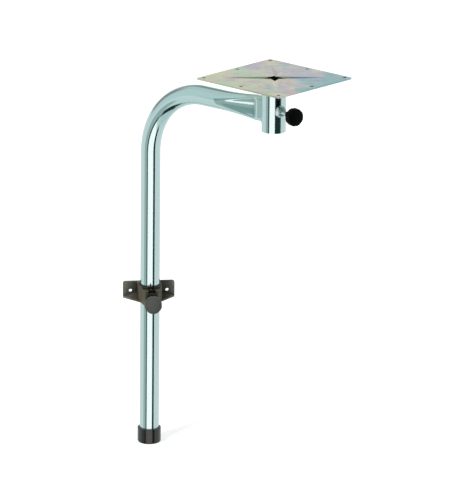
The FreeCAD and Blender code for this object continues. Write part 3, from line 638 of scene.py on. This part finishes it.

# %% [markdown]
# ### Mouldings
#
# The bracket is a grey-brown glass-filled moulding with a fine grain. Its edges are painted paler,
# partly as wear and partly as a painted highlight, and its flats have a soft sheen. The knobs, the
# cap and the bushes are kin to it, each with its own tones and gloss. Five separate materials would
# repeat each other, so one function makes them. Its tones are the painted shade in hollows, the
# dark and pale parts of the skin, and the paler edges. The bracket also turns a paler grey towards
# the wall, which is painted light on its ears.

# %% A moulded plastic
PATCH_CONTRAST = 1.8
EDGE_REACH = 0.0009
HOLLOW_SHADE_DEPTH = 3.6


def moulding(name, tones, shade_reach, gloss, grain_size, grain_depth, patch_size=0.010, fade=None,
             **plain_inputs):
    """A moulded plastic. A fade is its front, its back, and the colour that it turns to there."""
    hollow_shade, dark, pale, worn_highlit_tone = [(*tone, 1.0) for tone in tones]
    made, tree, shader, place = start_finish(name, **plain_inputs)
    skin = use(tree, grain, place=place, size=grain_size)
    tone = use(tree, clouds, place=place, size=patch_size, contrast=PATCH_CONTRAST)["Tone"]
    mottle = times(tree, maths(tree, "ADD", tone, skin["Speckle"]), 0.5)
    mottled = blend(tree, mottle, dark, pale)
    # The fade is painted light: the piece turns paler towards its back.
    if fade:
        front, back, faded = fade
        depth = add(tree, "ShaderNodeSeparateXYZ", {0: place}).outputs["Y"]
        patches = maths(tree, "ADD", times(tree, tone, 0.5), 0.5)
        how_far = times(tree, rescale(tree, depth, front, back), patches)
        mottled = blend(tree, how_far, mottled, faded)
    # Paler edges: partly wear, partly a painted highlight.
    worn_highlit_mask = use(tree, worn_highlit, reach=EDGE_REACH, patchiness=tone)["Mask"]
    skin_colour = blend(tree, worn_highlit_mask, mottled, worn_highlit_tone)
    # Painted shade: the moulding's darkest tone is laid in its hollows and corners.
    bare = use(tree, hollows, reach=shade_reach, depth=HOLLOW_SHADE_DEPTH)["Open"]
    paint(tree, shader, blend(tree, bare, hollow_shade, skin_colour))
    spread_roughness(tree, shader, tone, *gloss)
    raise_surface(tree, shader, skin["Height"], grain_depth)
    return made


print("a moulding reads four of the effects")

# %% The five mouldings
# The bracket's fade paints its ears, towards the wall, a paler grey: painted light on them.
bracket_plastic = moulding(
    "bracket_moulding",
    [(0.003, 0.002, 0.001), (0.054, 0.042, 0.022), (0.130, 0.106, 0.062), (0.22, 0.21, 0.18)],
    shade_reach=0.03, gloss=(0.36, 0.50), grain_size=0.0008, grain_depth=0.00006,
    fade=(0.0, 0.016, (0.26, 0.26, 0.22, 1.0)), Specular_IOR_Level=0.35)
knob_plastic = moulding(
    "knob_moulding",
    [(0.012, 0.012, 0.010), (0.040, 0.043, 0.038), (0.078, 0.082, 0.074), (0.16, 0.16, 0.15)],
    shade_reach=0.02, gloss=(0.36, 0.48), grain_size=0.0005, grain_depth=0.00003,
    Specular_IOR_Level=0.6)
black_plastic = moulding(
    "black_moulding", [(0.0005, 0.0005, 0.0005), (0.0010, 0.0010, 0.0011),
                       (0.0036, 0.0036, 0.0040), (0.012, 0.012, 0.013)],
    shade_reach=0.01, gloss=(0.46, 0.62), grain_size=0.0006, grain_depth=0.00006,
    Specular_IOR_Level=0.08)
cap_plastic = moulding(
    "cap_moulding",
    [(0.003, 0.002, 0.001), (0.006, 0.004, 0.002), (0.014, 0.010, 0.006), (0.05, 0.045, 0.035)],
    shade_reach=0.01, gloss=(0.14, 0.24), grain_size=0.0010, grain_depth=0.000012,
    patch_size=0.020, Specular_IOR_Level=0.7, Coat_Weight=0.35, Coat_Roughness=0.1)
bush_plastic = moulding(
    "bush_moulding",
    [(0.001, 0.001, 0.001), (0.006, 0.006, 0.006), (0.013, 0.013, 0.013), (0.025, 0.025, 0.025)],
    shade_reach=0.01, gloss=(0.35, 0.5), grain_size=0.0006, grain_depth=0.00002,
    patch_size=0.008, Specular_IOR_Level=0.4)
print("mouldings: 5 finishes")

# %% [markdown]
# ## Shapes that follow a rule
#
# Geometry Nodes can grow a mesh from a rule, with its sizes as inputs. A mesh typed in point by
# point would need new points for each new size. These helpers start and end such a tree, put it on
# an empty object, set the inputs by their identifiers, take the result as a plain mesh, and clear
# the modifier away.

# %% Helpers for grown shapes
def new_rule(name, sizes):
    """An empty Geometry Nodes tree with named sizes, and the sockets that hold them."""
    rule = bpy.data.node_groups.new(name, "GeometryNodeTree")
    rule.is_modifier = True
    rule.interface.new_socket("Mesh", in_out="OUTPUT", socket_type="NodeSocketGeometry")
    for label, kind in sizes:
        rule.interface.new_socket(label, in_out="INPUT", socket_type=kind)
    return rule, add(rule, "NodeGroupInput").outputs


def close_rule(rule, mesh, material):
    """End a tree as the export needs it: real geometry, smooth, with its material set."""
    smooth = add(rule, "GeometryNodeSetShadeSmooth", {"Geometry": mesh}).outputs["Geometry"]
    real = add(rule, "GeometryNodeRealizeInstances", {0: smooth}).outputs["Geometry"]
    painted = add(rule, "GeometryNodeSetMaterial", {"Geometry": real, "Material": material})
    add(rule, "NodeGroupOutput", {0: painted.outputs["Geometry"]})


def grow(name, rule, values):
    """A plain object grown by a rule, with its sizes given by name."""
    seed = put(name + "_seed", bpy.data.meshes.new(name + "_seed"))
    modifier = seed.modifiers.new("rule", "NODES")
    modifier.node_group = rule
    for item in rule.interface.items_tree:
        if item.item_type == "SOCKET" and item.in_out == "INPUT":
            modifier[item.identifier] = values[item.name]
    evaluated = seed.evaluated_get(bpy.context.evaluated_depsgraph_get())
    mesh = bpy.data.meshes.new_from_object(evaluated)
    seed.modifiers.clear()
    bpy.data.objects.remove(seed)
    mesh.name = name
    return put(name, mesh)


def stand_in(piece, body, slot_name, *replaced):
    """Hide what a new piece replaces, and hang it on its body. Its slot name is not used."""
    if replaced:
        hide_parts(*replaced)
    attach(piece, body)
    print(piece.name, "has", len(piece.data.polygons), "faces")


print("shape helpers: new_rule, close_rule, grow, stand_in")

# %% [markdown]
# ## The leg
#
# The leg is one tube: it rises, bends through a quarter turn, and runs out as the arm. Lofting it
# by hand would work, but the tube follows a path, so a rule does it: two straight runs, a rounded
# corner between them, rings every 2.5 mm, and a circle swept along.

# %% Sweep the tube along its path
TUBE_RADIUS = 0.0175
BEND_RADIUS = 0.1225
ARM_HEIGHT = 0.6665
ARM_REACH = 0.282
ARM_HEADING = math.radians(-47)
FOOT_SEAT = 0.004
SOCKET_RADIUS = 0.0212
SIDES = 96
RING_GAP = 0.0025
INTO_SOCKET = 0.0013
BEND_STEPS = 90

sweep, given = new_rule("swept_tube", [
    ("Tube Radius", VALUE), ("Bend Radius", VALUE), ("Foot", VALUE), ("Height", VALUE),
    ("Reach", VALUE), ("Ring Gap", VALUE), ("Sides", "NodeSocketInt")])
upright_start = vector(sweep, z=given["Foot"])
upright_end = vector(sweep, z=given["Height"])
arm_end = vector(sweep, x=given["Reach"], z=given["Height"])
three = add(sweep, "GeometryNodeMeshLine", {"Count": 3}).outputs["Mesh"]
number = add(sweep, "GeometryNodeInputIndex").outputs["Index"]


def choose(wanted, chosen, otherwise):
    """One place for the point with the wanted number, and another for the rest."""
    same = add(sweep, "FunctionNodeCompare", {"A": number, "B": wanted}, data_type="INT",
               operation="EQUAL").outputs["Result"]
    return add(sweep, "GeometryNodeSwitch", {"Switch": same, "False": otherwise, "True": chosen},
               input_type="VECTOR").outputs["Output"]


spot = choose(0, upright_start, choose(1, upright_end, arm_end))
placed = add(sweep, "GeometryNodeSetPosition", {"Geometry": three, "Position": spot})
path = add(sweep, "GeometryNodeMeshToCurve", {"Mesh": placed.outputs["Geometry"]}).outputs["Curve"]
bend = {"Curve": path, "Radius": given["Bend Radius"], "Count": BEND_STEPS}
path = add(sweep, "GeometryNodeFilletCurve", bend, mode="POLY").outputs["Curve"]
path = add(sweep, "GeometryNodeResampleCurve", {"Curve": path, "Length": given["Ring Gap"]},
           mode="LENGTH").outputs["Curve"]
circle = {"Resolution": given["Sides"], "Radius": given["Tube Radius"]}
ring = add(sweep, "GeometryNodeCurvePrimitiveCircle", circle, mode="RADIUS").outputs["Curve"]
tube = add(sweep, "GeometryNodeCurveToMesh",
           {"Curve": path, "Profile Curve": ring, "Fill Caps": True}).outputs["Mesh"]
close_rule(sweep, tube, leg_zinc)
leg = grow("bright_leg", sweep, {
    "Tube Radius": TUBE_RADIUS, "Bend Radius": BEND_RADIUS, "Foot": FOOT_SEAT, "Height": ARM_HEIGHT,
    "Reach": ARM_REACH - SOCKET_RADIUS + INTO_SOCKET, "Ring Gap": RING_GAP, "Sides": SIDES})
print("leg rings:", len(leg.data.vertices) // SIDES)

# %% [markdown]
# ## The pinched end
#
# A press flattens the arm's last stretch to a tall strip that can be welded to the socket. The
# tube's sides sink into a fan-shaped dent that ends at a step, and its height grows, since the
# metal must go somewhere. A lattice would bend the rings roughly to it. This is the leg's finest
# form, so it is worked point by point: each ring past the start of the pinch is laid on a new
# section, drawn with two ridges, a hollow between them, and round edges above and below. A little
# smoothing gives the ridges the soft radius of pressed tube.

# %% Arcs of a section
PINCH_START = 0.1638
PINCH_END = 0.2418
FLAT_START = 0.2458
FAN = math.radians(9)
FLAT_HALF_HEIGHT = 0.023
FLAT_HALF_THICKNESS = 0.0065
FLAT_CROWN = 0.0043
PINCH_DEPTH = 0.004
SMOOTHING = 3
ARC_STEPS = 120
STRAIGHT = 1e-9


def bow(start, through, end, count):
    """Points of the arc through three places, from the first up to but without the last."""
    (ax, ay), (bx, by), (cx, cy) = start, through, end
    turn = 2 * (ax * (by - cy) + bx * (cy - ay) + cx * (ay - by))
    if abs(turn) < STRAIGHT:
        return [(ax + (cx - ax) * step / count, ay + (cy - ay) * step / count)
                for step in range(count)]
    a2, b2, c2 = ax * ax + ay * ay, bx * bx + by * by, cx * cx + cy * cy
    ox = (a2 * (by - cy) + b2 * (cy - ay) + c2 * (ay - by)) / turn
    oy = (a2 * (cx - bx) + b2 * (ax - cx) + c2 * (bx - ax)) / turn
    radius = math.hypot(ax - ox, ay - oy)
    angles = [math.atan2(y - oy, x - ox) for x, y in (start, through, end)]
    whole = (angles[2] - angles[0]) % math.tau
    if (angles[1] - angles[0]) % math.tau > whole:
        whole -= math.tau
    turned = [angles[0] + whole * step / count for step in range(count)]
    return [(ox + radius * math.cos(angle), oy + radius * math.sin(angle)) for angle in turned]


print("steps in each arc:", ARC_STEPS)


# %% Sections of the pinched end
def pinch_section(half_height, ridge_width, ridge_height, waist):
    """The outline across the arm as (across, up), from the middle of one side, once round."""
    upper, lower = (ridge_width, ridge_height), (ridge_width, -ridge_height)
    far_upper, far_lower = (-ridge_width, ridge_height), (-ridge_width, -ridge_height)
    outline = bow(lower, (waist, 0), upper, ARC_STEPS)
    outline += bow(upper, (0, half_height), far_upper, ARC_STEPS)
    outline += bow(far_upper, (-waist, 0), far_lower, ARC_STEPS)
    outline += bow(far_lower, (0, -half_height), lower, ARC_STEPS)
    half = ARC_STEPS // 2
    outline = outline[half:] + outline[:half]
    steps = [0.0]
    for here, there in zip(outline, outline[1:] + outline[:1]):
        steps.append(steps[-1] + math.dist(here, there))
    even, place = [], 0
    for index in range(SIDES):
        wanted = steps[-1] * index / SIDES
        while steps[place + 1] < wanted:
            place += 1
        part = (wanted - steps[place]) / (steps[place + 1] - steps[place])
        here, there = outline[place], outline[(place + 1) % len(outline)]
        even.append(tuple(a + (b - a) * part for a, b in zip(here, there)))
    for _ in range(SMOOTHING):
        following = even[1:] + even[:1]
        before = even[-1:] + even[:-1]
        even = [tuple(0.25 * a + 0.5 * b + 0.25 * c for a, b, c in zip(*three_points))
                for three_points in zip(before, even, following)]
    return even


def ease(share):
    """A share from 0 to 1 that starts and ends gently."""
    share = min(1.0, max(0.0, share))
    return share * share * (3 - 2 * share)


def section_at(along):
    """The arm's section at a distance out from the leg's axis."""
    share = min(1.0, max(0.0, (along - PINCH_START) / (PINCH_END - PINCH_START)))
    half_height = TUBE_RADIUS + (FLAT_HALF_HEIGHT - TUBE_RADIUS) * share ** 2
    ridge_width = TUBE_RADIUS * math.cos(FAN) * (1 - share) + FLAT_HALF_THICKNESS * share
    ridge_height = TUBE_RADIUS * math.sin(FAN) * (1 - share)
    ridge_height += (FLAT_HALF_HEIGHT - FLAT_CROWN) * share
    waist = TUBE_RADIUS * (1 - share) + (FLAT_HALF_THICKNESS - PINCH_DEPTH) * share
    out_of_dent = ease((along - PINCH_END) / (FLAT_START - PINCH_END))
    waist += (FLAT_HALF_THICKNESS - waist) * out_of_dent if along > PINCH_END else 0
    return pinch_section(half_height, ridge_width, ridge_height, waist)


print("sections from", PINCH_START, "to", FLAT_START, "m out")

# %% Lay the rings on their sections
ARM_ZONE = 2 * TUBE_RADIUS

ring_places = {}
for vertex in leg.data.vertices:
    if vertex.co.x > PINCH_START and abs(vertex.co.z - ARM_HEIGHT) < ARM_ZONE:
        ring_places.setdefault(round(vertex.co.x, 5), []).append(vertex)
for along, ring_points in ring_places.items():
    section = section_at(along)
    for vertex in ring_points:
        angle = math.atan2(vertex.co.z - ARM_HEIGHT, vertex.co.y) % math.tau
        across, up = section[round(angle / math.tau * SIDES) % SIDES]
        vertex.co = (along, across, ARM_HEIGHT + up)
print("rings laid on pinched sections:", len(ring_places))

# %% [markdown]
# Painted shade darkens the plating where the dent meets its step, and on the step itself. A mask in
# the material would have to find the corner from coordinates. The mesh knows where it is, so each
# of its points carries a share from 0 to 1, as an attribute that the zinc reads.

# %% Mark the recess
RECESS_START = 0.232
RECESS_HALF_HEIGHT = 0.0175
RECESS_EDGE = 0.003
STEP_EDGE = 0.001
NEAR_STEP_SHARE = 0.35
STEP_SHARE = 0.8

recess_shade = leg.data.attributes.new("recess_shade", "FLOAT", "POINT")
for vertex in leg.data.vertices:
    along, up = vertex.co.x, abs(vertex.co.z - ARM_HEIGHT)
    if RECESS_START < along < FLAT_START and up < ARM_ZONE:
        near_step = ease((along - RECESS_START) / (PINCH_END - RECESS_START))
        near_step *= 1 - ease((along - PINCH_END) / (FLAT_START - PINCH_END))
        step_side = ease((along - PINCH_END + STEP_EDGE) / STEP_EDGE)
        step_side *= 1 - ease((along - FLAT_START + STEP_EDGE) / STEP_EDGE)
        inside = 1 - ease((up - RECESS_HALF_HEIGHT + RECESS_EDGE) / RECESS_EDGE)
        shares = NEAR_STEP_SHARE * near_step, STEP_SHARE * step_side
        recess_shade.data[vertex.index].value = inside * max(shares)
print("points in the recess:", sum(point.value > 0 for point in recess_shade.data))

# %% [markdown]
# The drawn lines need a map that follows the tube. Blender can unwrap one from marked seams. Here
# the mesh is made of rings, so a ring's number gives the way along, and a point's place in its
# ring gives the way round. The finished mesh is then turned to the arm's heading, as a change of
# its points, so that the object itself stays at the origin, unturned.

# %% Map the tube and turn it to its heading
LEG_SHARP = math.radians(60)

tube_map = leg.data.uv_layers.new(name="tube_map")
for polygon in leg.data.polygons:
    rounds = [index % SIDES for index in polygon.vertices]
    wraps = max(rounds) - min(rounds) > SIDES // 2
    for loop, index, part in zip(polygon.loop_indices, polygon.vertices, rounds):
        around = part / SIDES + (1 if wraps and part < SIDES // 2 else 0)
        tube_map.data[loop].uv = (around, (index // SIDES) * RING_GAP)
leg.data.transform(Matrix.Rotation(ARM_HEADING, 4, "Z"))
leg.data.set_sharp_from_angle(angle=LEG_SHARP)
stand_in(leg, "leg", "zinc", "leg_tube")

# %% [markdown]
# ## Clamp screws
#
# Both clamps use a hand screw with a coarse thread, and the socket's screw shows its thread
# between the welded nut and the knob. A sculpted groove would be slow. The rule lays a flat grid
# round an axis and lets the radius rise and fall as a helix. The first and last rows shrink to a
# point, which closes the ends.

# %% Grow a threaded rod
TOOTH_ROOT, TOOTH_CREST = 0.06, 0.42
CLOSED_ROW = 0.0001
MERGE_GAP = 0.000001

thread, given = new_rule("screw_thread", [
    ("Radius", VALUE), ("Length", VALUE), ("Pitch", VALUE), ("Depth", VALUE),
    ("Rings", "NodeSocketInt"), ("Sides", "NodeSocketInt")])
columns = maths(thread, "ADD", given["Sides"], 1.0)
size = {"Size X": 1.0, "Size Y": 1.0, "Vertices X": columns, "Vertices Y": given["Rings"]}
grid = add(thread, "GeometryNodeMeshGrid", size).outputs["Mesh"]
flat_place = add(thread, "GeometryNodeInputPosition").outputs["Position"]
spot = add(thread, "ShaderNodeSeparateXYZ", {0: flat_place}).outputs
around = maths(thread, "ADD", spot["X"], 0.5)
share = maths(thread, "ADD", spot["Y"], 0.5)
along = times(thread, share, given["Length"])
turns = maths(thread, "SUBTRACT", maths(thread, "DIVIDE", along, given["Pitch"]), around)
tooth = maths(thread, "PINGPONG", maths(thread, "FRACT", turns), 0.5)
crest = rescale(thread, tooth, TOOTH_ROOT, TOOTH_CREST)
left = maths(thread, "SUBTRACT", given["Length"], along)
lead = maths(thread, "DIVIDE", maths(thread, "MINIMUM", along, left), given["Pitch"])
lead = maths(thread, "MINIMUM", lead, 1.0)
groove = maths(thread, "SUBTRACT", 1.0, times(thread, crest, lead))
cut = times(thread, groove, given["Depth"])
past_first = maths(thread, "GREATER_THAN", share, CLOSED_ROW)
inner_row = times(thread, past_first, maths(thread, "LESS_THAN", share, 1 - CLOSED_ROW))
radius = times(thread, maths(thread, "SUBTRACT", given["Radius"], cut), inner_row)
angle = times(thread, around, math.tau)
cosine = times(thread, radius, maths(thread, "COSINE", angle))
sine = times(thread, radius, maths(thread, "SINE", angle))
rolled_up = vector(thread, along, cosine, sine)
rod = add(thread, "GeometryNodeSetPosition", {"Geometry": grid, "Position": rolled_up})
rod = add(thread, "GeometryNodeMergeByDistance",
          {"Geometry": rod.outputs["Geometry"], "Distance": MERGE_GAP})
close_rule(thread, rod.outputs["Geometry"], screw_zinc)
print("rule:", thread.name, "with", len(thread.nodes), "nodes")

# %% Place both screws
SCREW_RADIUS = 0.004
PITCH = 0.00125
THREAD_DEPTH = 0.0007
SOCKET_SCREW_HEADING = ARM_HEADING - math.radians(17)
BRACKET_SCREW_HEADING = math.radians(-90)
ROWS_PER_TURN = 10
SCREW_SIDES = 40
SOCKET_SCREW_PLACE = (0.192324, -0.206242, 0.670)
BRACKET_SCREW_PLACE = (0, 0, 0.275)


def along_screw(place, heading):
    """The place of a clamp: its +X runs out along the screw."""
    return Matrix.Translation(place) @ Matrix.Rotation(heading, 4, "Z")


socket_clamp = along_screw(SOCKET_SCREW_PLACE, SOCKET_SCREW_HEADING)
bracket_clamp = along_screw(BRACKET_SCREW_PLACE, BRACKET_SCREW_HEADING)
SCREWS = [
    ("threaded_socket_screw", socket_clamp, 0.0225, 0.0600, "socket_clamp", "socket_screw"),
    ("threaded_bracket_screw", bracket_clamp, 0.0223, 0.0540, "bracket_clamp", "bracket_screw"),
]
for name, place, start, end, body, node in SCREWS:
    rows = round((end - start) / PITCH * ROWS_PER_TURN)
    screw = grow(name, thread, {
        "Radius": SCREW_RADIUS, "Length": end - start, "Pitch": PITCH, "Depth": THREAD_DEPTH,
        "Rings": rows, "Sides": SCREW_SIDES})
    screw.data.transform(place @ Matrix.Translation((start, 0, 0)))
    stand_in(screw, body, "screw_zinc", node)

# %% [markdown]
# ## Hand knobs
#
# Each knob is a thick domed disc with a neck and eight shallow scallops for the fingers. It could
# be cut from a cylinder with Boolean modifiers, which leave ragged faces. Instead it is turned
# from a half profile with rounded corners. The scallops pull the rim in and fade out towards the
# middle, so the neck and the crown stay round.

# %% Profile of a knob
KNOB_RADIUS = 0.0155
KNOB_SCALLOPS = 8
SCALLOP_RADIUS = 0.012
SCALLOP_DEPTH = 0.0005
KNOB_SIDES = 144
MILLIMETRES = 1000
KNOB_SHARP = math.radians(50)
SCALLOP_FROM, SCALLOP_OVER = 10, 5.0
KNOB_PROFILE = [
    (0.0, 5.9), (0.15, 6.3), (0.5, 6.5), (5.0, 6.5), (9.6, 6.6), (10.6, 7.1), (11.3, 8.0),
    (11.9, 9.4), (12.7, 11.8), (13.4, 13.9), (13.8, 14.8), (14.3, 15.3), (14.9, 15.5), (16.0, 15.5),
    (20.0, 15.5), (23.6, 15.5), (24.4, 15.33), (25.0, 14.9), (25.45, 14.2), (25.8, 13.2),
    (26.15, 11.8), (26.45, 10.2), (26.7, 8.4), (26.93, 6.4), (27.1, 4.3), (27.2, 2.0),
]


def scallop(angle):
    """How far a scallop pulls in the rim at an angle, as a share of the rim's radius."""
    step = math.tau / KNOB_SCALLOPS
    off = abs((angle + step / 2) % step - step / 2)
    centre = KNOB_RADIUS + SCALLOP_RADIUS - SCALLOP_DEPTH
    reach = SCALLOP_RADIUS ** 2 - (centre * math.sin(off)) ** 2
    rim = centre * math.cos(off) - math.sqrt(reach) if reach > 0 else KNOB_RADIUS
    return min(rim, KNOB_RADIUS) / KNOB_RADIUS


print("rim in a scallop:", round(scallop(0.0) * KNOB_RADIUS * MILLIMETRES, 2), "mm")


# %% Turn a knob
def turn_knob(name, place, neck, material):
    """A knob whose neck starts so far along the screw."""
    points = [(neck, 0, 0)]
    for x, radius in KNOB_PROFILE:
        reach = ease((radius - SCALLOP_FROM) / SCALLOP_OVER)
        for side in range(KNOB_SIDES):
            angle = math.tau * side / KNOB_SIDES
            drawn_in = 1 - (1 - scallop(angle)) * reach
            out = radius / MILLIMETRES * drawn_in
            points.append((neck + x / MILLIMETRES, out * math.cos(angle), out * math.sin(angle)))
    points.append((neck + KNOB_PROFILE[-1][0] / MILLIMETRES, 0, 0))
    faces = []
    last = len(points) - 1
    for side in range(KNOB_SIDES):
        following = (side + 1) % KNOB_SIDES
        faces.append((0, 1 + side, 1 + following))
        for row in range(len(KNOB_PROFILE) - 1):
            here, there = 1 + row * KNOB_SIDES, 1 + (row + 1) * KNOB_SIDES
            faces.append((here + side, there + side, there + following, here + following))
        faces.append((last, last - KNOB_SIDES + following, last - KNOB_SIDES + side))
    mesh = bpy.data.meshes.new(name)
    mesh.from_pydata(points, [], faces)
    mesh.transform(place)
    mesh.shade_smooth()
    mesh.set_sharp_from_angle(angle=KNOB_SHARP)
    mesh.materials.append(material)
    return put(name, mesh)


print("a knob has", len(KNOB_PROFILE), "rings of", KNOB_SIDES, "points")

# %% Both knobs
SOCKET_NECK = 0.0442
BRACKET_NECK = 0.03845

socket_hand_knob = turn_knob("socket_hand_knob", socket_clamp, SOCKET_NECK, black_plastic)
stand_in(socket_hand_knob, "socket_clamp", "black_knob_plastic", "socket_knob")
bracket_hand_knob = turn_knob("bracket_hand_knob", bracket_clamp, BRACKET_NECK, knob_plastic)
stand_in(bracket_hand_knob, "bracket_clamp", "knob_plastic", "bracket_knob")

# %% [markdown]
# ## Pieces that keep their solid
#
# The other pieces already have the right shape. Each could be remade and would look the same, so
# each only gets its finish. A material in the piece's slot is enough, and its mesh stays as it is.

# %% Dress the solid pieces
def dress(material, *names):
    """One finish for some pieces of the solid model."""
    for name in names:
        nodes[name].data.materials.clear()
        nodes[name].data.materials.append(material)
    print(material.name, "on", ", ".join(names))


dress(tube_zinc, "socket_tube", "spigot")
dress(weld_zinc, "arm_weld", "nut_weld", "spigot_weld")
dress(chromate, "table_plate")
dress(screw_zinc, "weld_nut")
dress(dark_nut, "clamp_nut", "clamp_slug")
dress(bracket_plastic, "wall_bracket")
dress(cap_plastic, "foot_cap")
dress(bush_plastic, "collar_bush", "socket_bush", "clamp_shoe")
